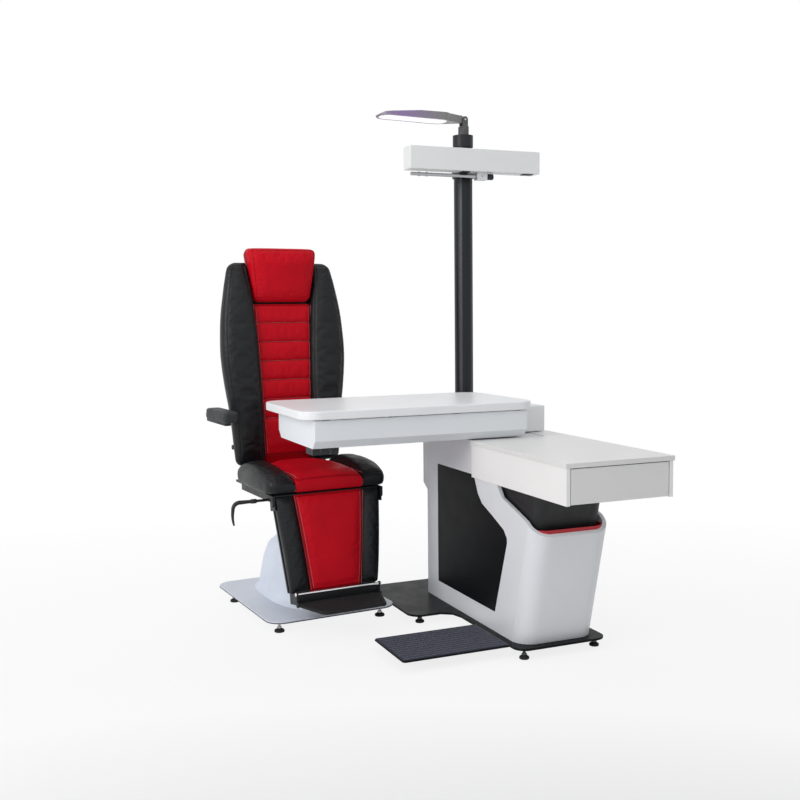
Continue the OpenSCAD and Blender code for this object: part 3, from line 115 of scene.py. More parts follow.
class Form:
    """Gathers surfaces given as arrays of points, and makes one finished piece of them."""

    def __init__(self):
        self.points, self.faces, self.count, self.tone, self.held = [], [], 0, [], []

    def add(self, points, faces, tone=0.0, held=1.0):
        """Points, faces that number them, and how dark and how firmly sewn down the points are."""
        points = np.asarray(points, float).reshape(-1, 3)
        self.points.append(points)
        for kept, value in ((self.tone, tone), (self.held, held)):
            kept.append(np.broadcast_to(np.asarray(value, float).reshape(-1), (len(points),)).copy())
        self.faces.extend(np.asarray(f, int) + self.count for f in faces)
        self.count += len(points)

    def grid(self, points, round_u=False, round_v=False, flip=False, tone=0.0, held=1.0):
        """A net of points[u, v] joined by four-sided faces, closed on itself where it is round."""
        m, n = points.shape[:2]
        number = np.arange(m * n).reshape(m, n)
        if round_u:
            number = np.vstack([number, number[:1]])
        if round_v:
            number = np.hstack([number, number[:, :1]])
        q = np.stack([number[:-1, :-1], number[1:, :-1], number[1:, 1:], number[:-1, 1:]], -1).reshape(-1, 4)
        self.add(points, [q[:, ::-1] if flip else q], tone, held)

    def cap(self, ring, flip=False):
        """A fan from a ring's middle to its points."""
        k = len(ring)
        a = np.arange(k)
        t = np.stack([a, (a + 1) % k, np.full(k, k)], -1)
        self.add(np.vstack([ring, ring.mean(0)]), [t[:, ::-1] if flip else t])

    def mesh(self, name, crease=38.0):
        """One welded mesh with even normals, smooth where its faces meet below the crease angle."""
        points = np.vstack(self.points).astype(np.float32)
        sizes = np.concatenate([np.full(len(f), f.shape[1]) for f in self.faces])
        loops = np.concatenate([f.ravel() for f in self.faces])
        made = bpy.data.meshes.new(name)
        made.vertices.add(len(points))
        made.vertices.foreach_set("co", points.ravel())
        made.loops.add(len(loops))
        made.loops.foreach_set("vertex_index", loops)
        made.polygons.add(len(sizes))
        made.polygons.foreach_set("loop_start", np.concatenate([[0], np.cumsum(sizes)[:-1]]))
        made.update(calc_edges=True)
        for title, values in (("tone", self.tone), ("held", self.held)):
            layer = made.attributes.new(title, "FLOAT", "POINT")
            layer.data.foreach_set("value", np.concatenate(values).astype(np.float32))
        tidy = bmesh.new()
        tidy.from_mesh(made)
        bmesh.ops.remove_doubles(tidy, verts=tidy.verts, dist=2e-6)
        bmesh.ops.dissolve_degenerate(tidy, edges=tidy.edges, dist=1e-7)
        bmesh.ops.recalc_face_normals(tidy, faces=tidy.faces)
        tidy.to_mesh(made)
        tidy.free()
        made.shade_smooth()
        made.set_sharp_from_angle(angle=math.radians(crease))
        return made

    def piece(self, name, body, look, node, place=None, crease=38.0, stands=False):
        """Brings the points from a place's axes to the frame and links them as one piece."""
        if place:
            self.points = [place(p) for p in self.points]
        return place_piece(name, self.mesh(name, crease), body, look, node, stands)


def linked(name, data):
    """A new object of the scene that holds the data."""
    made = bpy.data.objects.new(name, data)
    bpy.context.scene.collection.objects.link(made)
    return made


def place_piece(name, mesh, body, look, node, stands):
    """Links a mesh as a piece that rides on a body and may stand for a node, whose part it then hides."""
    piece = linked(name, mesh)
    mesh.materials.clear()
    mesh.materials.append(finish(look))
    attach(piece, body)
    if stands:
        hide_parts(node)
    return piece


def eased(count):
    """Shares from 0 to 1 that crowd at both ends, by a half turn of a cosine."""
    return (1 - np.cos(np.pi * np.linspace(0, 1, count + 1))) / 2


def flowing(t, table):
    """A smooth curve through a table of (share, value): cubic pieces with slopes from their neighbours."""
    x, y = np.array(table, float).T
    slope = np.gradient(y, x)
    i = np.clip(np.searchsorted(x, t, side="right") - 1, 0, len(x) - 2)
    h = x[i + 1] - x[i]
    s = np.clip((t - x[i]) / h, 0, 1)
    return ((2 * s**3 - 3 * s**2 + 1) * y[i] + (s**3 - 2 * s**2 + s) * h * slope[i]
            + (3 * s**2 - 2 * s**3) * y[i + 1] + (s**3 - s**2) * h * slope[i + 1])


def unit(v):
    return v / np.maximum(np.linalg.norm(v, axis=-1, keepdims=True), 1e-12)


def ring_angles(count):
    return np.linspace(0, 2 * np.pi, count, endpoint=False)


def squared_ring(a, power):
    """Superellipse of size 1: cosine and sine, whose sizes are raised to a power; a low one squares it."""
    return [np.sign(f) * np.abs(f) ** power for f in (np.cos(a), np.sin(a))]


def corner_pull(d, r):
    """How far a rounded corner of radius r draws an edge in, at a distance d from the corner's end."""
    d = np.clip(d, 0, r)
    return r - np.sqrt(np.maximum(0, r * r - (r - d) ** 2))


def even_path(path, step=None, count=None):
    """The path measured out again at even distances along itself."""
    path = np.asarray(path, float)
    run = np.concatenate([[0], np.cumsum(np.linalg.norm(np.diff(path, axis=0), axis=1))])
    count = count or max(2, int(run[-1] / step) + 1)
    at = np.linspace(0, run[-1], count)
    return np.stack([np.interp(at, run, path[:, k]) for k in range(3)], -1)


def sweep(form, path, radius, sides=8, lean=(0.3, 0.2, 0.93)):
    """A round section of changing radius carried along a path, closed at both ends."""
    along = unit(np.gradient(path, axis=0))
    side = unit(np.cross(along, np.broadcast_to(np.asarray(lean, float), along.shape)))
    up = np.cross(side, along)
    r = np.broadcast_to(np.asarray(radius, float), (len(path),))[:, None, None]
    a = ring_angles(sides)[None, :, None]
    rings = path[:, None] + r * (np.cos(a) * side[:, None] + np.sin(a) * up[:, None])
    form.grid(rings, round_v=True)
    form.cap(rings[0])
    form.cap(rings[-1], flip=True)


def turned(form, centre, axis, profile, sides=40, fluting=None):
    """A profile of (radius, height) turned about an axis; fluting changes the radius with the angle."""
    centre, axis = np.asarray(centre, float), unit(np.asarray(axis, float))
    helper = np.array([1.0, 0, 0]) if abs(axis[0]) < 0.9 else np.array([0, 1.0, 0])
    e1 = unit(np.cross(axis, helper))
    e2 = np.cross(axis, e1)
    profile = np.asarray(profile, float)
    a = ring_angles(sides)
    r = profile[:, :1] * np.ones(sides)
    if fluting:
        r = fluting(profile, a, r)
    rings = (centre + profile[:, 1][:, None, None] * axis
             + r[..., None] * (np.cos(a)[None, :, None] * e1 + np.sin(a)[None, :, None] * e2))
    form.grid(rings, round_v=True)
    form.cap(rings[0])
    form.cap(rings[-1], flip=True)


def fluted(count, depth, core=0.006):
    """Fluting for turned: outside the core the radius dips a number of times round the axis."""
    return lambda profile, a, r: r * (1 - depth * (0.5 + 0.5 * np.cos(count * a)) * (profile[:, :1] > core))


def rounded_profile(radius, low, high, edge, steps=4):
    """Profile of a turned disc with a quarter-round at its low and high edge."""
    a = np.linspace(0, np.pi / 2, steps + 1)
    bottom = np.stack([radius - edge + edge * np.sin(a), low + edge - edge * np.cos(a)], -1)
    top = np.stack([radius - edge + edge * np.cos(a), high - edge + edge * np.sin(a)], -1)
    return np.vstack([bottom, top])


# Button-head screw with a socket: shares of its radius and its rise; the rise is a share of the radius
SCREW = np.array([(0.98, 0), (1, 0.25), (0.82, 0.8), (0.5, 1), (0.42, 1), (0.38, 0.35)])
SCREW_RISE = 0.55


def screws(name, body, node, place, rows):
    """One piece of zinc screws from rows of (spots, axis, radius): turned heads that dip in the middle."""
    form = Form()
    for spots, axis, radius in rows:
        for spot in spots:
            turned(form, spot, axis, SCREW * (radius, radius * SCREW_RISE), 20)
    form.piece(name, body, "zinc", node, place)


def slab(form, low, high, edge, steps=3):
    """A block with rounded edges.

    Each side of a cube is a net of points whose directions, taken to the edge radius, are moved out to the
    corners of the block shrunk by that radius.
    """
    low, high = np.asarray(low, float), np.asarray(high, float)
    middle, half = (low + high) / 2, (high - low) / 2
    edge = min(edge, half.min() * 0.98)
    a = np.linspace(-1, 1, 2 * steps + 2)
    u, v = np.meshgrid(a, a, indexing="ij")
    for k in range(3):
        for sign in (-1, 1):
            p = np.zeros(u.shape + (3,))
            p[..., k], p[..., (k + 1) % 3], p[..., (k + 2) % 3] = sign, u, v
            core = (half - edge) * np.sign(np.where(np.abs(p) < 1e-9, 0, p))
            form.grid(middle + core + edge * unit(np.tan(p * np.pi / 4)), flip=sign < 0)


def eased_copy(node, name, body, look, width, segments):
    """A CAD node's own form, merged and its flat faces joined, with rounded edges, in the node's place."""
    sharp = math.radians(32.0)
    made = bmesh.new()
    made.from_mesh(NODES[node].data)
    bmesh.ops.remove_doubles(made, verts=made.verts, dist=1e-5)
    bmesh.ops.dissolve_limit(made, angle_limit=math.radians(0.6), verts=made.verts, edges=made.edges)
    mesh = bpy.data.meshes.new(name)
    made.to_mesh(mesh)
    made.free()
    mesh.shade_smooth()
    mesh.set_sharp_from_angle(angle=sharp)
    soften = place_piece(name, mesh, body, look, node, True).modifiers.new("Eased edges", "BEVEL")
    soften.width, soften.segments = width, segments
    soften.limit_method, soften.angle_limit = "ANGLE", sharp
    soften.harden_normals = soften.use_clamp_overlap = True


# Materials

class Finish:
    """Builds one node material around a Principled shader whose constants sit on its own sockets."""

    def __init__(self, name, colour, rough, metal=0.0, specular=0.5, coat=0.0, sheen=0.0):
        self.made = bpy.data.materials.new(name)
        self.made.use_nodes = True
        self.made.diffuse_color = (*colour, 1)
        self.tree, self.colour = self.made.node_tree, colour
        self.tree.nodes.clear()
        self.shader = self.node("ShaderNodeBsdfPrincipled", {
            "Base Color": (*colour, 1), "Roughness": rough, "Metallic": metal, "Specular IOR Level": specular,
            "Coat Weight": coat, "Coat Roughness": 0.15, "Sheen Weight": sheen, "Sheen Roughness": 0.45})
        self.out = self.node("ShaderNodeOutputMaterial")
        self.link(self.shader.outputs["BSDF"], self.out.inputs["Surface"])
        self.place = self.node("ShaderNodeTexCoord").outputs["Object"]

    def node(self, kind, values=None, **settings):
        """A new node with its settings, and constants for its sockets by name or number."""
        made = self.tree.nodes.new(kind)
        for key, value in settings.items():
            setattr(made, key, value)
        for key, value in (values or {}).items():
            made.inputs[key].default_value = value
        return made

    def link(self, a, b):
        self.tree.links.new(a, b)

    def noise(self, scale, detail, rough=0.55, stretch=None):
        """Cloudy pattern on Object coordinates, stretched where a stretch is given."""
        place = self.place
        if stretch:
            mapping = self.node("ShaderNodeMapping", {"Scale": stretch})
            self.link(place, mapping.inputs["Vector"])
            place = mapping.outputs["Vector"]
        cloud = self.node("ShaderNodeTexNoise", {"Scale": scale, "Detail": detail, "Roughness": rough})
        self.link(place, cloud.inputs["Vector"])
        return cloud.outputs["Fac"]

    def cells(self, scale):
        """Distance to the walls of the cells of leather grain."""
        grain = self.node("ShaderNodeTexVoronoi", {"Scale": scale}, feature="DISTANCE_TO_EDGE")
        self.link(self.place, grain.inputs["Vector"])
        return grain.outputs["Distance"]

    def range(self, value, low, high, out_low=0, out_high=1):
        """The value brought from one range to another, and held at its ends."""
        held = self.node("ShaderNodeMapRange", {"From Min": low, "From Max": high, "To Min": out_low,
                                                "To Max": out_high})
        self.link(value, held.inputs["Value"])
        return held.outputs["Result"]

    def sum(self, a, b, share=1.0):
        added = self.node("ShaderNodeMath", {1: share}, operation="MULTIPLY_ADD")
        self.link(b, added.inputs[0])
        self.link(a, added.inputs[2])
        return added.outputs[0]

    def product(self, a, b):
        times = self.node("ShaderNodeMath", operation="MULTIPLY")
        self.link(a, times.inputs[0])
        self.link(b, times.inputs[1])
        return times.outputs[0]

    def blend(self, fac, dark, light):
        """Colour between two colours, or colour outputs, by a factor."""
        mix = self.node("ShaderNodeMix", data_type="RGBA")
        self.link(fac, mix.inputs[0])
        for socket, value in ((mix.inputs[6], dark), (mix.inputs[7], light)):
            if isinstance(value, tuple):
                socket.default_value = (*value, 1)
            else:
                self.link(value, socket)
        return mix.outputs[2]

    def shades(self, pattern, dark, light, low=0.3, high=0.7):
        """The material's colour between a darker and a lighter shade, by a pattern."""
        return self.blend(self.range(pattern, low, high), shade(self.colour, dark), shade(self.colour, light))

    def tone(self):
        """The pieces' own attribute of seams, grooves or rib tops; in the pole's grooves it places a painted
        highlight, on the mat painted light and shade.
        """
        return self.node("ShaderNodeAttribute", attribute_name="tone").outputs["Fac"]

    def paint(self, colour):
        self.link(colour, self.shader.inputs["Base Color"])

    def gloss(self, fac, low, high):
        self.link(self.range(fac, 0.3, 0.7, low, high), self.shader.inputs["Roughness"])

    def relief(self, height, strength, distance):
        bump = self.node("ShaderNodeBump", {"Strength": strength, "Distance": distance})
        self.link(height, bump.inputs["Height"])
        self.link(bump.outputs["Normal"], self.shader.inputs["Normal"])


def seen_rays(tree):
    """Socket that is 1 where a camera, mirror or glass ray meets the floor or the world, and else 0."""
    path = tree.nodes.new("ShaderNodeLightPath")
    found = path.outputs["Is Camera Ray"]
    for kind in ("Is Glossy Ray", "Is Transmission Ray"):
        larger = tree.nodes.new("ShaderNodeMath")
        larger.operation = "MAXIMUM"
        tree.links.new(found, larger.inputs[0])
        tree.links.new(path.outputs[kind], larger.inputs[1])
        found = larger.outputs[0]
    return found


def shade(colour, factor):
    return tuple(min(1.0, max(0.0, c * factor)) for c in colour)


def powder_coat(name, colour, rough, contrast, grain=700.0, shine=0.5):
    """Sprayed and baked paint: fine orange peel, slight cloudiness, a few duller patches."""
    f = Finish(name, colour, rough, specular=shine)
    f.paint(f.shades(f.noise(3.2, 3), 1 - contrast, 1 + contrast * 0.5))
    f.gloss(f.noise(14, 4), rough - 0.05, rough + 0.07)
    f.relief(f.noise(grain, 2), 0.10, 0.0004)
    return f.made


def board_laminate(name, colour):
    """Pressed white laminate on board: pearl texture of small pits, almost no colour change."""
    f = Finish(name, colour, 0.38)
    f.paint(f.shades(f.sum(f.noise(2.2, 2), f.noise(60, 2), 0.15), 0.97, 1.01, 0.35, 0.8))
    f.gloss(f.noise(9, 5), 0.33, 0.44)
    f.relief(f.sum(f.noise(1500, 1), f.noise(420, 2), 0.6), 0.07, 0.0003)
    return f.made


def leather(name, colour, deep, rough, shine):
    """Coated leather: pebble grain of cells, soft creases, cloudy colour and darker seams."""
    f = Finish(name, colour, rough, specular=shine)
    f.paint(f.blend(f.tone(), f.shades(f.noise(7, 4), 0.90, 1.06, 0.32, 0.72), deep))
    f.gloss(f.sum(f.noise(22, 4), f.noise(160, 2), 0.3), rough - 0.07, rough + 0.10)
    creases = f.sum(f.noise(34, 6, 0.62, (1.0, 1.5, 0.8)), f.range(f.cells(620), 0.0, 0.35), 0.22)
    f.relief(f.sum(creases, f.noise(9, 2), 1.4), 0.24, 0.0016)
    return f.made


def moulded(name, colour, rough, grain, strength):
    """Moulded plastic with a spark-eroded grain."""
    f = Finish(name, colour, rough, specular=0.45)
    f.paint(f.shades(f.noise(5, 3), 0.93, 1.06))
    f.gloss(f.noise(30, 4), rough - 0.05, rough + 0.08)
    f.relief(f.sum(f.noise(grain, 2), f.noise(26, 3), 0.5), strength, 0.0005)
    return f.made


def satin_metal(name, colour, rough, stretch=(1, 1, 1), metal=1.0):
    """Brushed or drawn metal: fine scratches, long along one way where stretched, with cloudy gloss."""
    f = Finish(name, colour, rough, metal)
    scratches = f.noise(180, 4, 0.7, stretch)
    f.paint(f.shades(scratches, 0.88, 1.08))
    f.gloss(f.sum(scratches, f.noise(8, 3), 0.5), rough - 0.07, rough + 0.16)
    f.relief(scratches, 0.05, 0.0003)
    return f.made


def dull_rubber(name, colour):
    """Rubber: matt, dusty, finely pitted."""
    f = Finish(name, colour, 0.78, specular=0.3)
    f.paint(f.shades(f.noise(18, 5), 1, 1.7, 0.45, 0.8))
    f.relief(f.noise(800, 3), 0.2, 0.0005)
    return f.made


def ribbed_matting(name, colour, light):
    """Dense step mat: painted shade in the valleys, painted light on the rib tops, by the rib height kept as
    an attribute, fibre noise.
    """
    f = Finish(name, colour, 0.86, specular=0.25, sheen=0.25)
    fibres = f.noise(900, 3, 0.7)
    # Painted shade and light: the valley colour where the ribs are low, the lighter colour on the rib tops
    f.paint(f.blend(f.tone(), colour, f.blend(f.range(fibres, 0.3, 0.7), shade(light, 0.75), light)))
    f.relief(fibres, 0.5, 0.0008)
    return f.made


def milk_lens(name, colour, tint):
    """Lit milky lens: near white, with a faint violet cast in slow clouds."""
    f = Finish(name, colour, 0.35, coat=0.2)
    cast = f.blend(f.range(f.noise(5, 2), 0.4, 0.75), colour, tint)
    f.paint(cast)
    f.shader.inputs["Emission Strength"].default_value = 0.55
    f.link(cast, f.shader.inputs["Emission Color"])
    f.relief(f.noise(260, 2), 0.05, 0.0004)
    return f.made


def lamp_coat(name, colour, cast):
    """Grey coat of the lamp head that takes a violet cast along its outer half."""
    f = Finish(name, colour, 0.32)
    place = f.node("ShaderNodeSeparateXYZ")
    f.link(f.place, place.inputs[0])
    across, tip = place.outputs["X"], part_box("lamp_head")[0].x
    share = f.product(f.range(across, tip + 0.08, tip + 0.26, 1, 0), f.range(across, tip, tip + 0.08, 0.3, 1))
    f.paint(f.blend(share, colour, cast))
    f.gloss(f.noise(30, 4), 0.27, 0.38)
    f.relief(f.noise(900, 2), 0.08, 0.0004)
    return f.made


def fluted_coat(name, colour, groove):
    """Satin black of the pole, paler in the grooves as a painted highlight; their place is an attribute."""
    f = Finish(name, colour, 0.32, metal=0.2, specular=0.32)
    drawn = f.noise(160, 3, 0.6, (1, 1, 0.03))
    # Painted highlight: where the tone attribute is high, the colour goes over to the paler groove colour
    f.paint(f.blend(f.tone(), f.shades(drawn, 0.8, 1.3), groove))
    f.gloss(drawn, 0.27, 0.40)
    f.relief(drawn, 0.05, 0.0003)
    return f.made


MATERIALS = {}


def finish(name):
    """The finish of that name; all are made once, from the panel's colours."""
    if not MATERIALS:
        c = bpy.context.scene.unit_finish
        black, red, dark = tuple(c.satin_black), tuple(c.red_leather), tuple(c.black_leather)
        MATERIALS.update({
            "cabinet white": powder_coat("Cabinet white lacquer", tuple(c.white_paint), 0.36, 0.02, 520),
            "table white": board_laminate("Table white laminate", tuple(c.white_laminate)),
            # One laminate in two copies: the case whiter as painted light, the top and drawer front greyer as
            # painted shade
            "side white painted light": board_laminate("Side table laminate, painted light", tuple(c.side_laminate_painted_light)),
            "side top painted shade": board_laminate("Side table top laminate, painted shade", tuple(c.side_top)),
            "housing white": powder_coat("Housing white coat", tuple(c.housing_paint), 0.46, 0.03),
            "tray white": powder_coat("Tray white coat", tuple(c.tray_paint), 0.40, 0.02),
            "plate grey": powder_coat("Chair plate coat", tuple(c.chair_plate_paint), 0.38, 0.03),
            "cover grey": moulded("Pedestal cover plastic", tuple(c.cover_plastic), 0.42, 1200, 0.06),
            "panel black": powder_coat("Side panel satin black", shade(black, 0.6), 0.32, 0.25, 900, 0.04),
            "plate black": powder_coat("Base plate black coat", black, 0.36, 0.25, 420, 0.06),
            "frame black": powder_coat("Frame black coat", black, 0.42, 0.25, 700, 0.35),
            # The pole's paler groove colour is a painted highlight
            "pole black highlit": fluted_coat("Pole black anodised, painted groove highlight", shade(black, 1.2), (0.09, 0.092, 0.10)),
            "hollow black": moulded("Inner body black", shade(black, 0.7), 0.55, 700, 0.1),
            "red leather": leather("Red leather", red, shade(red, 0.35), 0.42, 0.12),
            "black leather": leather("Black leather", dark, shade(dark, 0.4), 0.33, 0.26),
            "arm plastic": moulded("Arm pad soft plastic", shade(dark, 1.3), 0.55, 700, 0.3),
            "shell plastic": moulded("Back shell plastic", shade(dark, 0.8), 0.55, 600, 0.35),
            "black plastic": moulded("Black plastic", shade(black, 0.9), 0.48, 1000, 0.15),
            "grey plastic": moulded("Grey button plastic", (0.66, 0.68, 0.70), 0.4, 1000, 0.08),
            "dark button": moulded("Dark button plastic", (0.035, 0.036, 0.038), 0.4, 1000, 0.08),
            "lining red": moulded("Trough lining red", tuple(c.lining_red), 0.30, 300, 0.03),
            "rubber": dull_rubber("Foot rubber", (0.016, 0.016, 0.018)),
            "foot tread": dull_rubber("Foot plate tread", (0.010, 0.010, 0.011)),
            # The step mat's valley colour is painted shade, its rib colour painted light
            "step mat": ribbed_matting("Step mat ribs, painted light and shade", tuple(c.mat_valley_painted_shade), tuple(c.mat_rib_painted_light)),
            "chrome": satin_metal("Bright chrome", (0.80, 0.81, 0.83), 0.10),
            "brushed steel": satin_metal("Brushed steel", (0.46, 0.47, 0.49), 0.28, (0.04, 1, 1)),
            "silver metal": satin_metal("Silver casting", (0.60, 0.61, 0.63), 0.34),
            "dark metal": satin_metal("Dark cast metal", (0.10, 0.105, 0.11), 0.38, metal=0.8),
            "zinc": satin_metal("Zinc plated steel", (0.52, 0.52, 0.50), 0.36),
            "brass": satin_metal("Contact brass", (0.70, 0.48, 0.20), 0.30),
            "lamp grey": lamp_coat("Lamp head grey", tuple(c.lamp_grey), (0.30, 0.20, 0.42)),
            "lamp lens": milk_lens("Lamp lens", (0.97, 0.96, 0.98), (0.90, 0.82, 0.96)),
            "red thread": moulded("Pale seam thread", (0.62, 0.24, 0.24), 0.6, 2000, 0.4),
            "seam piping": leather("Seam piping", (0.34, 0.03, 0.04), (0.2, 0.02, 0.03), 0.35, 0.5),
        })
    return MATERIALS[name]


# Cushion forms, in metres: where the side turns in to the back, seams, puckers beside them, slow waves
BELLY = 0.36
SEAM, SEAM_HALF, STITCH_HALF = 0.0006, 0.0022, 0.004
PUCKER, PUCKER_PITCH, PUCKER_REACH = 0.0005, 0.0165, 0.007
WAVE = 0.0011

# Sewn channels: how soon the leather puffs up again, its small folds, the half width of the sewn line
PUFF, FOLD, FOLD_PITCH, FOLD_REACH = 0.0065, 0.0006, 0.014, 0.006
LINE_HALF, HELD_HALF = 0.0020, 0.0045


class Pad:
    """A stuffed panel over an outline.

    Across each row the height follows crown minus side fall, a power curve 1 - |s|^power raised to 1/root,
    so the crown is broad and the sides are steep; below the belly line a quarter round draws the side in
    to the back. Sewn channels are sharp valleys across the pad, seams are narrow valleys beside the edge.
    """

    def __init__(self, left, right, thick, length, power, root, rows, cols, seam_in, phase, start=0.0,
                 tuck=0.008, crown=0.004, seam_depth=0.0012, channels=(), channel_depth=0.010,
                 ends=(1.0, 1.0), corner=(0.0, 0.0)):
        self.left, self.right, self.thick, self.length, self.start = left, right, thick, length, start
        self.channels, self.corner = channels, corner
        t, j = eased(rows), eased(cols)
        if len(channels):
            t = self.rows_at_channels(t)
        self.t, self.j = t, j
        a, b, h = self.side(t, -1)[:, None], self.side(t, 1)[:, None], flowing(t, thick)[:, None]
        s, v = 2 * j[None] - 1, (2 * t - 1)[:, None]
        self.s, self.v = s, v
        x = a + (b - a) * j[None]
        y = start + length * t[:, None] + 0 * x
        low = BELLY * h

        def fall(q, share=1.0):
            return np.maximum(0, 1 - np.abs(q) ** power) ** (1 / (root * share))

        rise = (h - crown * s * s - crown * 0.6 * v * v - low)
        z = low + rise * fall(s) * fall(v, np.where(v < 0, ends[0], ends[1]))
        half = (b - a) / 2
        side = (1 - np.abs(s)) * half
        foot = (1 - np.abs(v)) * length / 2
        edge = np.minimum(side, foot)
        groove = np.exp(-((edge - seam_in) / SEAM_HALF) ** 2)
        z = z - seam_depth * groove
        run = np.where(side < foot, y, x)
        ripple = np.sin(2 * np.pi * run / PUCKER_PITCH + 1.3 * np.sin(run * 71 + phase) + phase)
        z = z + PUCKER * ripple * np.exp(-np.abs(edge - seam_in) / PUCKER_REACH)
        z = z + WAVE * np.sin(x * 23 + phase) * np.sin(y * 17 + 0.7 * phase) * fall(s) * fall(v)
        tone = 0.75 * groove
        self.stitched = np.exp(-((edge - seam_in) / STITCH_HALF) ** 2)
        for k, at in enumerate(channels):
            d = np.abs(y - start - at * length)
            puff = 1 - np.exp(-d / PUFF)
            z = low + (z - low) * (1 - channel_depth / np.maximum(h - low, 1e-4) * (1 - puff))
            ripple = np.sin(2 * np.pi * x / FOLD_PITCH + 2 * np.sin(x * 90 + k) + k)
            z = z + FOLD * ripple * np.exp(-d / FOLD_REACH) * (1 - np.exp(-d / LINE_HALF))
            tone = np.maximum(tone, 0.9 * np.exp(-(d / LINE_HALF) ** 2))
            self.stitched = np.maximum(self.stitched, np.exp(-(d / HELD_HALF) ** 2))
        self.front = np.stack([x, y, z], -1)
        self.tone = np.broadcast_to(tone, x.shape)
        across, along = (a + b) / 2, start + length / 2
        self.rings = []
        for q in math.pi / 2 * np.array([1, 2, 3]) / 3:
            pull = tuck * (1 - math.cos(q))
            self.rings.append(np.stack([across + (x - across) * (1 - pull / half),
                                        along + (y - along) * (1 - 2 * pull / length),
                                        low * (1 - math.sin(q)) + 0 * x], -1))

    def side(self, t, which):
        """Place of the left or right edge; near both ends a quarter circle of the corner draws it in."""
        table, r = (self.left, self.corner[0]) if which < 0 else (self.right, self.corner[1])
        return flowing(t, table) - which * corner_pull(np.minimum(t, 1 - t) * self.length, r)

    def rows_at_channels(self, t):
        """Adds rows close to every sewn line, so the valleys stay sharp."""
        near = np.array([-0.0075, -0.0045, -0.0024, -0.001, 0, 0.001, 0.0024, 0.0045, 0.0075]) / self.length
        extra = (np.asarray(self.channels)[:, None] + near).ravel()
        return np.unique(np.round(np.concatenate([t, extra]), 6))

    @staticmethod
    def rim(net):
        return np.concatenate([net[0, :-1], net[:-1, -1], net[-1, :0:-1], net[:0:-1, 0]])

    def build(self, form, mirror=False):
        """Front net, three rim rings that draw in the side, and the flat back."""
        flip = np.array([-1.0 if mirror else 1.0, 1, 1])
        edge = np.minimum(1 - np.abs(self.s), 1 - np.abs(self.v))
        soft = np.clip((edge - 0.02) / 0.10, 0, 1) * (1 - np.clip(self.stitched * 1.3, 0, 1))
        form.grid(self.front * flip, tone=self.tone, held=1 - soft)
        form.grid(np.stack([self.rim(net * flip) for net in (self.front, *self.rings)]), round_v=True)
        form.grid(self.rings[-1] * flip * np.array([1, 1, 0]))

    def line_across(self, at, inset, lift):
        """Points on the front at one share of the length, from side to side."""
        p = self.front[int(np.argmin(np.abs(self.t - at)))].copy()
        half = (p[-1, 0] - p[0, 0]) / 2
        p[:, 2] += lift
        return p[np.abs(self.s[0]) * half < half - inset]

    def line_along(self, side, inset, lift, trim):
        """Points on the front that run along one side, at a distance in from it."""
        x0, x1, y = self.front[:, 0, 0], self.front[:, -1, 0], self.front[:, 0, 1]
        x = (x0 + inset) if side < 0 else (x1 - inset)
        z = self.height_at(self.t, np.clip((x - x0) / (x1 - x0), 0, 1))
        keep = (y > self.start + trim) & (y < self.start + self.length - trim)
        return np.stack([x, y, z + lift], -1)[keep]

    def line_round(self, inset, lift, count=60):
        """Points on the front in a closed ring at a distance in from every edge."""
        near = np.clip(inset / self.length, 0, 0.5)
        run, across = np.linspace(near, 1 - near, count), np.linspace(0, 1, count)
        left, right = self.side(run, -1) + inset, self.side(run, 1) - inset
        far_x, near_x = left[-1] + (right[-1] - left[-1]) * across, right[0] + (left[0] - right[0]) * across
        x = np.concatenate([left, far_x[1:], right[::-1][1:], near_x[1:-1]])
        t = np.concatenate([run, np.full(count - 1, 1 - near), run[::-1][1:], np.full(count - 2, near)])
        x0, x1 = self.side(t, -1), self.side(t, 1)
        z = self.height_at(t, np.clip((x - x0) / (x1 - x0), 0, 1))
        return np.stack([x, self.start + self.length * t, z + lift], -1)

    def height_at(self, t, j):
        """Height of the front net at shares of its length and width, by straight-line mixing."""
        ti = np.interp(t, self.t, np.arange(len(self.t)))
        ji = np.interp(j, self.j, np.arange(len(self.j)))
        i0, j0 = np.floor(ti).astype(int), np.floor(ji).astype(int)
        i1, j1 = np.minimum(i0 + 1, len(self.t) - 1), np.minimum(j0 + 1, len(self.j) - 1)
        fi, fj = ti - i0, ji - j0
        z = self.front[..., 2]
        return ((1 - fi) * (1 - fj) * z[i0, j0] + fi * (1 - fj) * z[i1, j0]
                + (1 - fi) * fj * z[i0, j1] + fi * fj * z[i1, j1])


def stitches(form, path, pitch, length=0.0062, radius=0.0010):
    """A run of sewn stitches: small long beads, one every pitch, lying along the path."""
    path = even_path(path, pitch)
    along = unit(np.gradient(path, axis=0))
    side = unit(np.cross(along, np.broadcast_to([0.0, 0, 1], along.shape)))
    up = np.cross(side, along)
    u, a = np.linspace(-1, 1, 5), ring_angles(6)
    r = radius * np.sqrt(np.maximum(0.12, 1 - u**2))
    bead = (path[:, None, None] + (u * length / 2)[None, :, None, None] * along[:, None, None]
            + r[None, :, None, None] * (np.cos(a)[None, None, :, None] * side[:, None, None]
                                        + np.sin(a)[None, None, :, None] * up[:, None, None]))
    k, m, n = bead.shape[:3]
    number = np.arange(k * m * n).reshape(k, m, n)
    wrap = np.concatenate([number, number[:, :, :1]], 2)
    q = np.stack([wrap[:, :-1, :-1], wrap[:, 1:, :-1], wrap[:, 1:, 1:], wrap[:, :-1, 1:]], -1).reshape(-1, 4)
    fans = [np.stack([number[:, e, 0], number[:, e, i], number[:, e, i + 1]], -1)
            for e in (0, m - 1) for i in range(1, n - 1)]
    form.add(bead, [q, np.concatenate(fans)])


def piping(name, lines, step, radius, place, body, look, node):
    """One piece of round piping carried along the given lines."""
    form = Form()
    for line in lines:
        sweep(form, even_path(line, step), radius)
    form.piece(name, body, look, node, place)


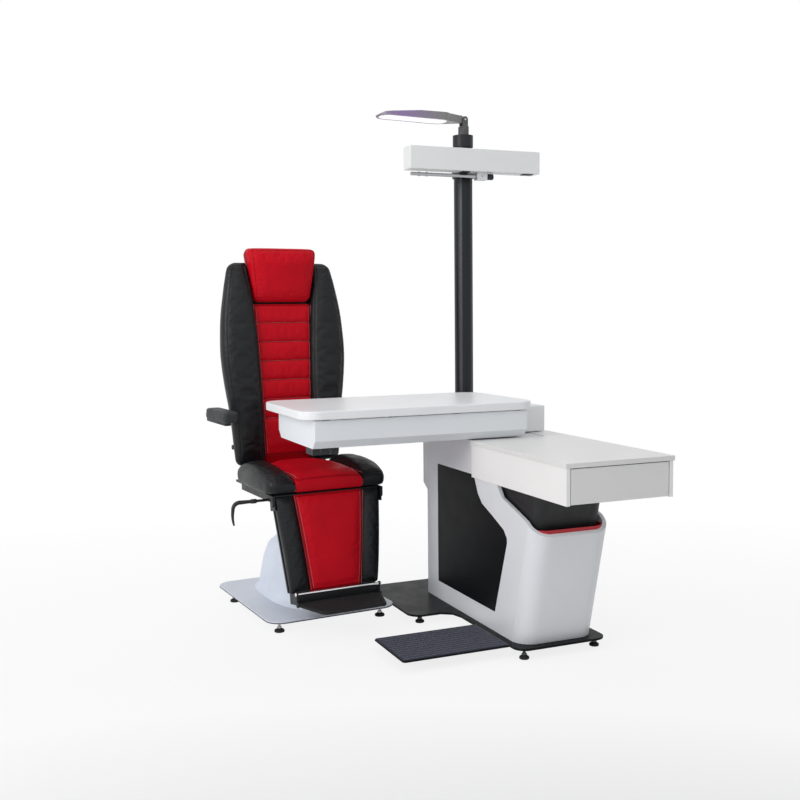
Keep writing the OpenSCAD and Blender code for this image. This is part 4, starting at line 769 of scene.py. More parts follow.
def seams(cord_name, thread_name, pad, place, body, node, radius, inset, trim=0.012, cord_trim=0.006):
    """Piping in the valley on both sides of an insert, and stitches beside it and along its channels."""
    t = np.linspace(cord_trim / pad.length, 1 - cord_trim / pad.length, 90)
    y, height = pad.start + pad.length * t, flowing(t, pad.thick) * 0.80
    sides = (flowing(t, pad.left) - SEAM / 2, flowing(t, pad.right) + SEAM / 2)
    piping(cord_name, [np.stack([x, y, height], -1) for x in sides], 0.006, radius, place, body,
           "seam piping", node)
    thread = Form()
    lines = [pad.line_along(side, inset, 0.0003, trim) for side in (-1, 1)]
    for line in lines + [pad.line_across(at, 0.016, 0.0004) for at in pad.channels]:
        stitches(thread, line, bpy.context.scene.unit_sizes.stitch_pitch)
    thread.piece(thread_name, body, "red thread", node, place)


STUFFED = []


def stuffed(name, pad, place, body, look, node, cap, mirrored=False):
    form = Form()
    for mirror in ((False, True) if mirrored else (False,)):
        pad.build(form, mirror)
    piece = form.piece(name, body, look, node, place, 60.0, True)
    STUFFED.append((piece, cap))


def points_of(mesh):
    co = np.empty(len(mesh.vertices) * 3)
    mesh.vertices.foreach_get("co", co)
    return co.reshape(-1, 3)


def blow_up(frames, pressure):
    """Cloth run: every cushion's leather is let out a little and swells between its seams, then is kept.

    The attribute held says how firmly a point is sewn down: fully on the back, the rim and at stitches.
    """
    rest = {}
    for piece, cap in STUFFED:
        weight = np.empty(len(piece.data.vertices))
        piece.data.attributes["held"].data.foreach_get("value", weight)
        weight = np.round(weight, 1)
        group = piece.vertex_groups.new(name="sewn")
        for level in np.unique(weight):
            group.add(np.nonzero(weight == level)[0].tolist(), float(level), "REPLACE")
        rest[piece.name] = points_of(piece.data)
        cloth = piece.modifiers.new("Leather", "CLOTH")
        s = cloth.settings
        s.quality, s.mass, s.air_damping = 4, 0.35, 3.0
        s.tension_stiffness = s.compression_stiffness = 18
        s.shear_stiffness, s.bending_stiffness = 8, 1.2
        s.tension_damping = s.compression_damping = 12
        s.vertex_group_mass = "sewn"
        s.pin_stiffness = 4
        s.shrink_min = -0.012
        s.use_pressure, s.uniform_pressure_force = True, pressure
        s.effector_weights.gravity = 0
        cloth.collision_settings.use_collision = False
        cloth.point_cache.frame_start, cloth.point_cache.frame_end = 1, frames
    scene = bpy.context.scene
    for number in range(1, frames + 1):
        scene.frame_set(number)
    dg = bpy.context.evaluated_depsgraph_get()
    kept = {piece.name: points_of(piece.evaluated_get(dg).to_mesh()) for piece, cap in STUFFED}
    for piece, cap in STUFFED:
        moved = kept[piece.name] - rest[piece.name]
        far = np.linalg.norm(moved, axis=1, keepdims=True)
        moved *= np.minimum(1, cap / np.maximum(far, 1e-9))
        piece.modifiers.clear()
        piece.vertex_groups.clear()
        piece.data.vertices.foreach_set("co", (rest[piece.name] + moved).ravel())
        piece.data.update()
    scene.frame_set(1)


# Tables of the chair's cushions, as shares of length against metres, following the part's source

def scaled(table, size):
    return [(p, q * size) for p, q in table]


SEAT_HALF, INSERT_HALF = 0.243, 0.136
SEAT_INSERT = [(0, 1), (0.88, 0.82), (0.93, 0.74), (1, 0.72)]
LEG_HALF, LEG_INSERT_HALF = 0.214, 0.139
LEG_LOW, LEG_LONG, LEG_THICK = -0.332, 0.358, [(0, 0.95 * 0.048), (0.5, 0.048), (1, 0.9 * 0.048)]
BACK_HALF, CHANNEL_HALF, BACK_LONG = 0.264, 0.123, 0.813
WING_OUT = [(0, 0.84), (0.06, 0.856), (0.19, 0.885), (0.3, 0.92), (0.35, 0.943), (0.45, 0.98), (0.54, 1),
            (0.64, 0.993), (0.75, 0.965), (0.84, 0.92), (0.925, 0.87), (0.98, 0.825), (1, 0.79)]
WING_IN = [(0, 0.83), (0.04, 0.832), (0.79, 1), (1, 1.165)]


def seat_pads():
    bolster = Pad(scaled([(0, 0.93), (0.06, 0.97), (0.2, 1), (1, 1)], -SEAT_HALF),
                  [(0, -INSERT_HALF - SEAM), (1, -INSERT_HALF - SEAM)],
                  scaled([(0, 0.74), (0.1, 0.79), (0.33, 0.93), (0.65, 1), (1, 0.95)], 0.090), 0.360,
                  power=4.5, root=2.6, rows=110, cols=54, seam_in=0.012, phase=0.4, corner=(0.016, 0))
    insert = Pad(scaled(SEAT_INSERT, -INSERT_HALF), scaled(SEAT_INSERT, INSERT_HALF),
                 scaled([(0, 0.88), (0.1, 0.92), (0.6, 0.96), (1, 1)], 0.074), 0.388,
                 power=9, root=4.5, rows=100, cols=76, seam_in=0.008, phase=1.1, ends=(0.62, 1.0))
    return bolster, insert


def leg_pads():
    taper = [(0, -LEG_INSERT_HALF * 0.72), (1, -LEG_INSERT_HALF)]
    side = Pad([(0, -LEG_HALF * 0.83 + SEAM), (1, -LEG_HALF + SEAM)], [(p, x - SEAM) for p, x in taper],
               LEG_THICK, LEG_LONG, power=5, root=2.8, rows=90, cols=44, seam_in=0.010, phase=2.0,
               start=LEG_LOW, corner=(0.010, 0))
    middle = Pad(taper, scaled(taper, -1), LEG_THICK, LEG_LONG, power=10, root=5, rows=90, cols=64,
                 seam_in=0.007, phase=2.9, start=LEG_LOW)
    return side, middle


def back_pads():
    wing = Pad(scaled(WING_OUT, -BACK_HALF), [(p, -q * CHANNEL_HALF - SEAM) for p, q in WING_IN],
               scaled([(0, 0.9), (0.2, 1), (0.8, 1), (1, 0.9)], 0.080), BACK_LONG, power=4.2, root=2.4,
               rows=150, cols=60, seam_in=0.016, phase=0.9, tuck=0.020, crown=0.007, seam_depth=0.0018,
               corner=(0.024, 0))
    taper = [(0, -CHANNEL_HALF * 0.83), (1, -CHANNEL_HALF)]
    panel = Pad(taper, scaled(taper, -1), [(0, 0.055), (1, 0.055)], 0.614, power=12, root=6, rows=90,
                cols=64, seam_in=0.006, phase=0.2, start=0.032, tuck=0.004,
                channels=[k / 8 for k in range(2, 8)], channel_depth=0.009)
    flare = [(0, 0.98), (1, 1.2)]
    rest = Pad(scaled(flare, -CHANNEL_HALF), scaled(flare, CHANNEL_HALF),
               scaled([(0, 0.6), (0.5, 0.85), (0.85, 1), (1, 0.96)], 0.106), 0.214, power=8, root=4,
               rows=80, cols=80, seam_in=0.012, phase=1.7, start=0.654, seam_depth=0.0014,
               corner=(0.022, 0.022))
    return wing, panel, rest


# Settings

def colour_setting(name, description, default):
    return FloatVectorProperty(name=name, description=description, subtype="COLOR", size=3, min=0, max=1,
                               default=default)


def length_setting(name, description, default, low, high):
    return FloatProperty(name=name, description=description, unit="LENGTH", default=default, min=low,
                         max=high)


class UnitFinish(bpy.types.PropertyGroup):
    white_paint: colour_setting("Cabinet white", "Lacquer of the cabinet shell", (0.78, 0.80, 0.83))
    white_laminate: colour_setting("Table white", "Laminate of the swinging table top", (0.90, 0.91, 0.93))
    # The side table's case colour is painted light, and its top and drawer front colour is painted shade,
    # both of one laminate
    side_laminate_painted_light: colour_setting("Side table white", "Laminate of the side table's case", (0.93, 0.93, 0.92))
    side_top: colour_setting("Side table top", "Laminate of the side table's top and drawer front",
                             (0.80, 0.80, 0.79))
    tray_paint: colour_setting("Tray white", "Coat of the tray under the table top", (0.83, 0.86, 0.89))
    housing_paint: colour_setting("Housing white", "Coat of the arm box and swing head", (0.89, 0.90, 0.90))
    chair_plate_paint: colour_setting("Chair plate", "Coat of the chair's floor plate", (0.68, 0.72, 0.81))
    cover_plastic: colour_setting("Pedestal cover", "Plastic of the pedestal cover", (0.72, 0.77, 0.88))
    satin_black: colour_setting("Satin black", "Panels, base plate and pole", (0.008, 0.009, 0.011))
    red_leather: colour_setting("Red leather", "Inserts, channels and headrest", (0.60, 0.0035, 0.014))
    black_leather: colour_setting("Black leather", "Bolsters and wings", (0.0075, 0.0085, 0.010))
    lining_red: colour_setting("Trough lining", "Red lining of the cabinet's trough", (0.50, 0.010, 0.022))
    # The mat's valley colour is painted shade, and its rib colour is painted light on the rib tops
    mat_valley_painted_shade: colour_setting("Mat valleys", "Dark ground of the step mat", (0.005, 0.006, 0.014))
    mat_rib_painted_light: colour_setting("Mat ribs", "Painted light on the tops of the step mat's ribs", (0.050, 0.060, 0.115))
    lamp_grey: colour_setting("Lamp head", "Coat of the lamp head", (0.24, 0.24, 0.235))


class UnitSizes(bpy.types.PropertyGroup):
    piping: length_setting("Piping", "Radius of the piping on the cushions", 0.0020, 0.001, 0.004)
    stitch_pitch: length_setting("Stitch pitch", "Distance from stitch to stitch", 0.0085, 0.004, 0.02)
    flute_depth: length_setting("Flute depth", "Depth of the grooves along the pole", 0.0026, 0.0, 0.003)
    rib_pitch: length_setting("Mat rib pitch", "Distance from rib to rib on the step mat", 0.0200, 0.01, 0.03)
    swell: FloatProperty(name="Swell", description="Pressure that fills the cushions", default=3.4,
                         min=0, max=8)
    swell_steps: IntProperty(name="Swell steps", description="Steps of the cloth run", default=18,
                             min=4, max=40)


class UnitStudio(bpy.types.PropertyGroup):
    floor: colour_setting("Floor", "Pale floor and backdrop", (0.80, 0.80, 0.805))
    key: FloatProperty(name="Key light", description="Strength of the large light from the left",
                       default=118.0, min=0, unit="POWER")
    fill: FloatProperty(name="Fill light", description="Strength of the lights in front and overhead",
                        default=30.0, min=0, unit="POWER")
    sky: FloatProperty(name="Sky", description="Strength of the even light from all sides",
                       default=0.46, min=0)


# Operators

def facing(x, y, z, at):
    """Matrix of an object at a place, whose own axes point along x, y and z."""
    turn = Matrix(np.column_stack([x, y, z]).tolist()).to_4x4()
    turn.translation = at
    return turn


class MakeStage(bpy.types.Operator):
    """Floor that curves up into a backdrop, soft lights and the camera at the photograph's place"""
    bl_idname = "unit.stage"
    bl_label = "Stage"

    def execute(self, context):
        studio = context.scene.unit_studio
        self.floor(tuple(studio.floor))
        self.sky(context.scene, studio.sky)
        for name, at, aim, size, power in (
                ("Key", (-4.6, -1.2, 2.7), (0, 0, 0.7), 2.8, studio.key),
                ("Front", (-0.6, -4.3, 4.3), (0.1, 0, 0.9), 2.6, studio.fill),
                ("Top", (0.2, 0.4, 4.8), (0, 0, 0), 3.4, studio.fill)):
            lamp = bpy.data.lights.new(name, "AREA")
            lamp.shape, lamp.size, lamp.energy = "SQUARE", size, power
            away = unit(np.array(at, float) - np.array(aim, float))
            side = unit(np.cross([0, 0, 1.0], away) + np.array([1e-6, 0, 0]))
            linked(name, lamp).matrix_world = facing(side, np.cross(away, side), away, at)
        self.camera(context.scene)
        context.scene.view_settings.view_transform = "Standard"
        return {"FINISHED"}

    def floor(self, colour):
        """Floor and backdrop: a flat run, a curve of 3 m radius and a rise, carried straight across."""
        far, radius, bend = 5.5, 3, np.linspace(0.1, np.pi / 2, 14)
        run = np.concatenate([np.linspace(-9, far, 30), far + radius * np.sin(bend),
                              np.full(6, far + radius)])
        rise = np.concatenate([np.zeros(30), radius - radius * np.cos(bend), np.linspace(3.5, 9, 6)])
        across = np.linspace(-14, 14, 24)
        form = Form()
        form.grid(np.stack(np.broadcast_arrays(across[None], run[:, None], rise[:, None]), -1), flip=True)
        floor = linked("Floor", form.mesh("Floor", 60))
        floor.data.materials.append(self.pale_floor(colour))

    def pale_floor(self, colour):
        """Pale floor that keeps its shadows: a mix of a matt surface and, for seen rays, plain white.

        The white share grows with the distance from the photograph's viewpoint until it is plain white.
        """
        f = Finish("Pale floor", colour, 0.78, specular=0.15)
        f.paint(f.shades(f.noise(1.2, 2), 0.985, 1.0))
        away = f.node("ShaderNodeVectorMath", {1: (CAMERA_AT[0], CAMERA_AT[1], 0)}, operation="DISTANCE")
        f.link(f.place, away.inputs[0])
        near = f.range(away.outputs["Value"], 2.35, 3.0, 0.45, 0.82)
        far = f.range(away.outputs["Value"], 3.4, 6.0, 0, 0.18)
        white = f.node("ShaderNodeEmission", {"Strength": 1.0})
        mix = f.node("ShaderNodeMixShader")
        f.link(f.product(f.sum(near, far), seen_rays(f.tree)), mix.inputs[0])
        f.link(f.shader.outputs["BSDF"], mix.inputs[1])
        f.link(white.outputs[0], mix.inputs[2])
        f.link(mix.outputs[0], f.out.inputs["Surface"])
        return f.made

    def sky(self, scene, strength):
        """Even light from all sides, which camera, mirror and glass rays see as plain white."""
        world = scene.world = bpy.data.worlds.new("Even light")
        world.use_nodes = True
        tree = world.node_tree
        ground, seen = tree.nodes["Background"], tree.nodes.new("ShaderNodeBackground")
        for back, colour, power in ((ground, (0.98, 0.99, 1.0, 1), strength), (seen, (1, 1, 1, 1), 1.0)):
            back.inputs["Color"].default_value = colour
            back.inputs["Strength"].default_value = power
        mix = tree.nodes.new("ShaderNodeMixShader")
        tree.links.new(seen_rays(tree), mix.inputs[0])
        tree.links.new(ground.outputs[0], mix.inputs[1])
        tree.links.new(seen.outputs[0], mix.inputs[2])
        tree.links.new(mix.outputs[0], tree.nodes["World Output"].inputs["Surface"])

    def camera(self, scene):
        yaw, pitch, roll = (math.radians(a) for a in CAMERA_TURN)
        ahead = np.array([math.sin(yaw) * math.cos(pitch), math.cos(yaw) * math.cos(pitch), -math.sin(pitch)])
        right = np.array([math.cos(yaw), -math.sin(yaw), 0])
        up = np.cross(right, ahead)
        level = math.cos(roll) * right + math.sin(roll) * up
        head = -math.sin(roll) * right + math.cos(roll) * up
        lens = bpy.data.cameras.new("Camera")
        lens.lens, lens.sensor_width, lens.sensor_fit = CAMERA_LENS, 36.0, "AUTO"
        lens.clip_start, lens.clip_end = 0.05, 60
        scene.camera = linked("Camera", lens)
        scene.camera.matrix_world = facing(level, head, -ahead, CAMERA_AT)


class MakeSeat(bpy.types.Operator):
    """Seat bolsters and red insert, with seams, stitches and piping"""
    bl_idname = "unit.seat"
    bl_label = "Seat cushions"

    def execute(self, context):
        thin = context.scene.unit_sizes.piping * 0.8
        bolster, insert = seat_pads()
        stuffed("Sitting_bolster_leather", bolster, seat_place, "seat", "black leather", "seat_bolsters",
                0.004, True)
        stuffed("Sitting_insert_leather", insert, seat_place, "seat", "red leather", "seat_insert",
                0.004)
        seams("Sitting_seam_cord", "Sitting_insert_stitches", insert, seat_place, "seat", "seat_insert",
              thin, 0.0105, 0.03, 0.012)
        line = bolster.line_along(-1, 0.012, 0.0006, 0.016)
        piping("Sitting_bolster_piping", [line * np.array([side, 1, 1]) for side in (1, -1)], 0.006, thin,
               seat_place, "seat", "black leather", "seat_bolsters")
        return {"FINISHED"}


class MakeLegRest(bpy.types.Operator):
    """Leg rest pads and red insert, with seams and stitches, the top roll and the web below"""
    bl_idname = "unit.leg_rest"
    bl_label = "Leg rest cushions"

    def execute(self, context):
        side_pad, middle = leg_pads()
        stuffed("Leg_side_leather", side_pad, leg_pad_place, "legrest", "black leather", "legrest_pad",
                0.003, True)
        stuffed("Leg_insert_leather", middle, leg_pad_place, "legrest", "red leather", "legrest_insert",
                0.003)
        seams("Leg_seam_cord", "Leg_insert_stitches", middle, leg_pad_place, "legrest", "legrest_insert",
              context.scene.unit_sizes.piping * 0.8, 0.0095)
        half, up, out, radius = 0.212, 0.0262, -0.004, 0.0092
        roll = Form()
        u = np.linspace(-1, 1, 60)
        path = np.stack([half * u, np.full(60, up), np.full(60, out)], -1)
        sweep(roll, path, radius * np.maximum(0.02, 1 - np.abs(u) ** 24) ** 0.5, 20)
        roll.piece("Leg_top_roll", "legrest", "black leather", "legrest_pad", leg_place)
        web = Form()
        slab(web, (-FOOT_HALF, -0.0565, 0.1085), (FOOT_HALF, -0.0540, 0.147), 0.001)
        web.piece("Foot_rest_web", "legrest", "frame black", "legrest_board", chair_place)
        return {"FINISHED"}


class MakeBack(bpy.types.Operator):
    """Back wings, channelled red panel and headrest, with piping and stitches"""
    bl_idname = "unit.back"
    bl_label = "Back cushions"

    def execute(self, context):
        cord = context.scene.unit_sizes.piping
        wing, panel, rest = back_pads()
        stuffed("Back_wing_leather", wing, back_place, "backrest", "black leather", "back_bolsters",
                0.005, True)
        stuffed("Back_channel_leather", panel, back_place, "backrest", "red leather", "back_panel",
                0.0035)
        stuffed("Headrest_leather", rest, back_place, "headrest", "red leather", "headrest", 0.004)
        seams("Back_seam_cord", "Back_channel_stitches", panel, back_place, "backrest", "back_panel",
              cord * 0.7, 0.0085)
        self.tuck_flap()
        edges = [wing.line_along(edge, inset, 0.0006, 0.014) for edge, inset in ((-1, 0.016), (1, 0.010))]
        piping("Back_wing_piping", [line * np.array([side, 1, 1]) for side in (-1, 1) for line in edges],
               0.007, cord, back_place, "backrest", "black leather", "back_bolsters")
        rim = Pad.rim(rest.front)
        for name, line, look in (("Headrest_piping", rest.line_round(0.011, 0.0005), "red leather"),
                                 ("Headrest_rim_piping", np.vstack([rim, rim[:1]]), "black leather")):
            piping(name, [line], 0.005, cord, back_place, "headrest", look, "headrest")
        return {"FINISHED"}

    def tuck_flap(self):
        """Red flap that runs from under the panel down behind the seat: a net that bows and sags a little."""
        u, v = np.linspace(-1, 1, 50), np.linspace(0, 1, 26)
        y, z = 0.044 - 0.062 * v, 0.034 - 0.026 * v**0.8
        bow = 0.003 * (1 - u**2)[None] * np.sin(np.pi * v)[:, None]
        ripple = 0.0006 * np.sin(24 * u)[None] * v[:, None]
        flap = Form()
        flap.grid(np.stack(np.broadcast_arrays(0.098 * u[None], y[:, None], z[:, None] + bow + ripple), -1))
        piece = flap.piece("Back_tuck_flap", "backrest", "red leather", "back_panel", back_place)
        piece.modifiers.new("Wall", "SOLIDIFY").thickness = 0.0022


class SwellCushions(bpy.types.Operator):
    """Runs the cloth simulation on all cushions and keeps its result"""
    bl_idname = "unit.swell"
    bl_label = "Swell the cushions"

    def execute(self, context):
        sizes = context.scene.unit_sizes
        blow_up(sizes.swell_steps, sizes.swell)
        return {"FINISHED"}


class MakeChairHardware(bpy.types.Operator):
    """Arm pads, recline lever, back knob, pedestal cover, shells, plates and screws of the chair"""
    bl_idname = "unit.chair_hardware"
    bl_label = "Chair hardware"

    def execute(self, context):
        for side, name in ((-1, "left"), (1, "right")):
            self.arm_pad(side, name)
        self.lever()
        self.cover()
        self.foot_plate()
        self.knob()
        self.plate_edge()
        for node, name, body, look, width, segments in (
                ("chair_plate", "Chair_floor_plate", "root", "plate grey", 0.0016, 3),
                ("seat_frame", "Sitting_frame_rails", "seat", "frame black", 0.0008, 2),
                ("back_shell", "Back_shell_plastic", "backrest", "shell plastic", 0.003, 3),
                ("legrest_board", "Leg_rest_board", "legrest", "frame black", 0.0008, 2),
                ("upper_cover", "Upper_lift_cover", "seat", "cover grey", 0.0015, 2)):
            eased_copy(node, name, body, look, width, segments)
        rows = ((0.12, 0.10), (0.12, 0.40), (0.11, 0.70))
        spots = [(x, up, -0.0224) for half, up in rows for x in (-half, half)]
        screws("Back_shell_screws", "backrest", "back_shell", back_place, [(spots, (0, 0, -1), 0.006)])
        self.rod_caps()
        return {"FINISHED"}

    def arm_pad(self, side, name):
        """A superellipse section swept along the pad, fuller in the middle, on a flat bar and a hub."""
        form = Form()
        tip, out = ARM_Y - 0.041, side * ARM_OUT
        y0 = tip - 0.240
        t = eased(46)
        end = np.maximum(0, 1 - np.abs(2 * t - 1) ** 14) ** (1 / 4)
        half_w = 0.031 * (0.25 + 0.75 * end) * (0.94 + 0.06 * t)
        half_h = 0.021 * (0.45 + 0.55 * end)
        cx, cz = squared_ring(ring_angles(48), 2 / 5)
        y = y0 + (tip - y0) * t
        crown = 0.0015 * (cz > 0.3) * end[:, None]
        pad = np.stack([out + half_w[:, None] * cx, y[:, None] + 0 * cx,
                        ARM_Z + 0.011 + half_h[:, None] * cz + crown], -1)
        form.grid(pad, round_v=True)
        form.cap(pad[0])
        form.cap(pad[-1])
        slab(form, (out - 0.012, tip - 0.19, 0.7453), (out + 0.012, 0.47, 0.7593), 0.0025)
        slab(form, (out - 0.012, tip - 0.02, 0.7453), (out + 0.012, 0.488, 0.776), 0.004)
        hub = (side * 0.321, ARM_Y, ARM_Z)
        turned(form, hub, (-side, 0, 0), rounded_profile(0.0138, 0.0, 0.024, 0.003), 36)
        turned(form, hub, (-side, 0, 0), rounded_profile(0.007, 0.02, 0.112, 0.001), 28)
        node = f"armrest_{name}"
        form.piece(f"Arm_pad_{name}", node, "arm plastic", node, chair_place, 50, True)

    def lever(self):
        """Lever: a round bar of changing radius carried along a line that bends down into a grip."""
        low, high = (corner.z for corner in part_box("recline_lever"))
        y, z, root, elbow, bend_r = 0.115, high - 0.007, -0.191, -0.318, 0.025
        bend, drop = np.linspace(0, np.pi / 2, 16), np.linspace(0, 1, 30)
        flat = np.stack([np.linspace(root, elbow, 40), np.full(40, y), np.full(40, z)], -1)
        corner = np.stack([elbow - bend_r * np.sin(bend), np.full(16, y),
                           z - bend_r + bend_r * np.cos(bend)], -1)
        down = np.stack([elbow - bend_r - 0.0025 * np.sin(np.pi * drop) + 0.003 * drop**2, np.full(30, y),
                         z - bend_r + (low + 0.004 - z + bend_r) * drop], -1)
        path = even_path(np.vstack([flat, corner[1:], down[1:]]), count=130)
        share, radius = np.array([
            (0, 0.009), (0.03, 0.009), (0.045, 0.0085), (0.06, 0.0052), (0.26, 0.0052), (0.275, 0.0085),
            (0.36, 0.0085), (0.375, 0.0066), (0.40, 0.0066), (0.55, 0.0078), (0.64, 0.0076), (0.95, 0.0042),
            (1, 0.003)]).T
        form = Form()
        sweep(form, path, np.interp(np.linspace(0, 1, 130), share, radius), 22, (0.2, 0.97, 0.1))
        form.piece("Recline_lever_grip", "recline_lever", "black plastic", "recline_lever", chair_place,
                   50, True)

    def knob(self):
        """Clamp knob of the back: a turned body whose radius waves with the angle."""
        edge = WING_OUT[1][1] * BACK_HALF - 0.032
        start, end = (back_place((x, 0.075, -0.011)) for x in (-edge - 0.030, -edge + 0.025))
        axis = unit(end - start)
        form = Form()
        turned(form, start, axis, rounded_profile(0.0098, 0.0, 0.026, 0.002), 72, fluted(9, 0.09))
        turned(form, start, axis, rounded_profile(0.0040, 0.02, 0.054, 0.0006), 24)
        form.piece("Back_clamp_knob", "back_knob", "black plastic", "back_knob", crease=40, stands=True)

    def cover(self):
        """Pedestal cover: superellipse rings whose front, back and half width flow up a smooth table.

        The table's rows are shares of the height, of the depth (front and back) and of the half width. The
        top closes in to a squared slot round the lift column.
        """
        table = np.array([[0, 0, 1, 1], [0.045, 0.028, 0.985, 0.91], [0.14, 0.053, 0.975, 0.85],
                          [0.27, 0.076, 0.962, 0.81], [0.48, 0.12, 0.92, 0.785], [0.69, 0.167, 0.86, 0.745],
                          [0.85, 0.208, 0.795, 0.69], [0.935, 0.25, 0.72, 0.63], [0.985, 0.285, 0.685, 0.58],
                          [1, 0.303, 0.663, 0.56]])
        front_y, depth, half_w, low, tall = 0.062, 0.528, 0.150, 0.048, 0.232
        h = np.unique(np.concatenate([np.linspace(0, 0.06, 10), np.linspace(0.06, 0.9, 44),
                                      np.linspace(0.9, 1, 16)]))
        front, back, half = (flowing(h, table[:, [0, k]]) for k in (1, 2, 3))
        a = ring_angles(120)
        cx, cy = squared_ring(a, 1 / 1.4)
        y0, y1 = front_y + depth * front, front_y + depth * back
        rings = np.stack([(half * half_w)[:, None] * cx,
                          ((y0 + y1) / 2)[:, None] + ((y1 - y0) / 2)[:, None] * cy,
                          np.broadcast_to((low + tall * h)[:, None], (len(h), len(a)))], -1)
        sx, sy = squared_ring(a, 0.35)
        slot = np.stack([0.064 * sx, 0.317 + 0.086 * sy, np.full(len(a), 0.2795)], -1)
        steps = [rings[-1] + (slot - rings[-1]) * q for q in (0.33, 0.66, 0.93)]
        skirt = [slot - np.array([0, 0, down]) for down in (0, 0.0015, 0.02)]
        form = Form()
        form.grid(np.stack([*rings, *steps, *skirt]), round_v=True)
        piece = form.piece("Pedestal_cover_shell", "root", "cover grey", "pedestal_cover", chair_place,
                           50, True)
        wall = piece.modifiers.new("Wall", "SOLIDIFY")
        wall.thickness, wall.offset = 0.003, -1

    def foot_plate(self):
        """Foot plate: its half width runs along it; ribbed on top, flat below, on a round hinge bar."""
        half_t, round_r, rib_pitch, rib_deep = 0.006, 0.0012, 0.0062, 0.0011
        y0, y1 = FOOT_Y - 0.145, FOOT_Y + 0.010
        v = np.unique(np.concatenate([np.linspace(0, 1, 150), np.linspace(0, 0.09, 20)]))
        y = y0 + (y1 - y0) * v
        narrow = FOOT_HALF * 0.78
        half = np.interp(y - y0, [0, 0.012, 0.125, 0.155], [narrow - 0.012, narrow, FOOT_HALF, FOOT_HALF])
        u = np.concatenate([[-1], np.linspace(-0.985, 0.985, 60), [1]])
        edge = np.minimum((1 - np.abs(u))[None] * half[:, None], np.minimum(v, 1 - v)[:, None] * (y1 - y0))
        rib = 0.5 + 0.5 * np.cos(2 * np.pi * (y - y0) / rib_pitch)
        inner = np.clip((edge - 0.006) / 0.002, 0, 1)
        drop = round_r * np.exp(-edge / round_r)
        top = FOOT_Z + half_t - drop - rib_deep * (1 - rib[:, None]) * inner
        net = np.stack([u[None] * half[:, None], y[:, None] + 0 * u[None], top], -1)
        below = net.copy()
        below[..., 2] = FOOT_Z - half_t + drop
        form = Form()
        form.grid(net)
        form.grid(below, flip=True)
        form.grid(np.stack([Pad.rim(net), Pad.rim(below)]), round_v=True)
        turned(form, (-0.169, FOOT_Y, FOOT_Z), (1, 0, 0), rounded_profile(0.005, 0, 0.338, 0.0008), 24)
        form.piece("Foot_plate_tread", "foot_plate", "foot tread", "foot_plate", chair_place, 35, True)

    def plate_edge(self):
        """Dark sealing bead that runs round the floor plate at half its thickness."""
        low, high, r = (-0.259, -0.035), (0.259, 0.623), 0.062
        a = np.linspace(0, np.pi / 2, 14)
        middles = ((high[0] - r, high[1] - r), (low[0] + r, high[1] - r), (low[0] + r, low[1] + r),
                   (high[0] - r, low[1] + r))
        ring = np.vstack([np.stack([x + (r - 0.0012) * np.cos(a + k * np.pi / 2),
                                    y + (r - 0.0012) * np.sin(a + k * np.pi / 2), np.full(14, 0.0430)], -1)
                          for k, (x, y) in enumerate(middles)])
        piping("Floor_plate_edge_bead", [np.vstack([ring, ring[:1]])], 0.006, 0.0022, chair_place, "root",
               "rubber", "chair_plate")

    def rod_caps(self):
        """Turned chrome caps on both ends of the rod below the leg rest."""
        caps = Form()
        for side in (-1, 1):
            at = leg_place((side * 0.1692, LEG_LOW - 0.0025, 0.035))
            axis = unit(chair_place((side, 0, 0)) - chair_place((0, 0, 0)))
            turned(caps, at, axis, [(0.0072, 0), (0.0076, 0.001), (0.0072, 0.003), (0.004, 0.0042)], 28)
        caps.piece("Cross_rod_caps", "legrest", "chrome", "hinge_rod")


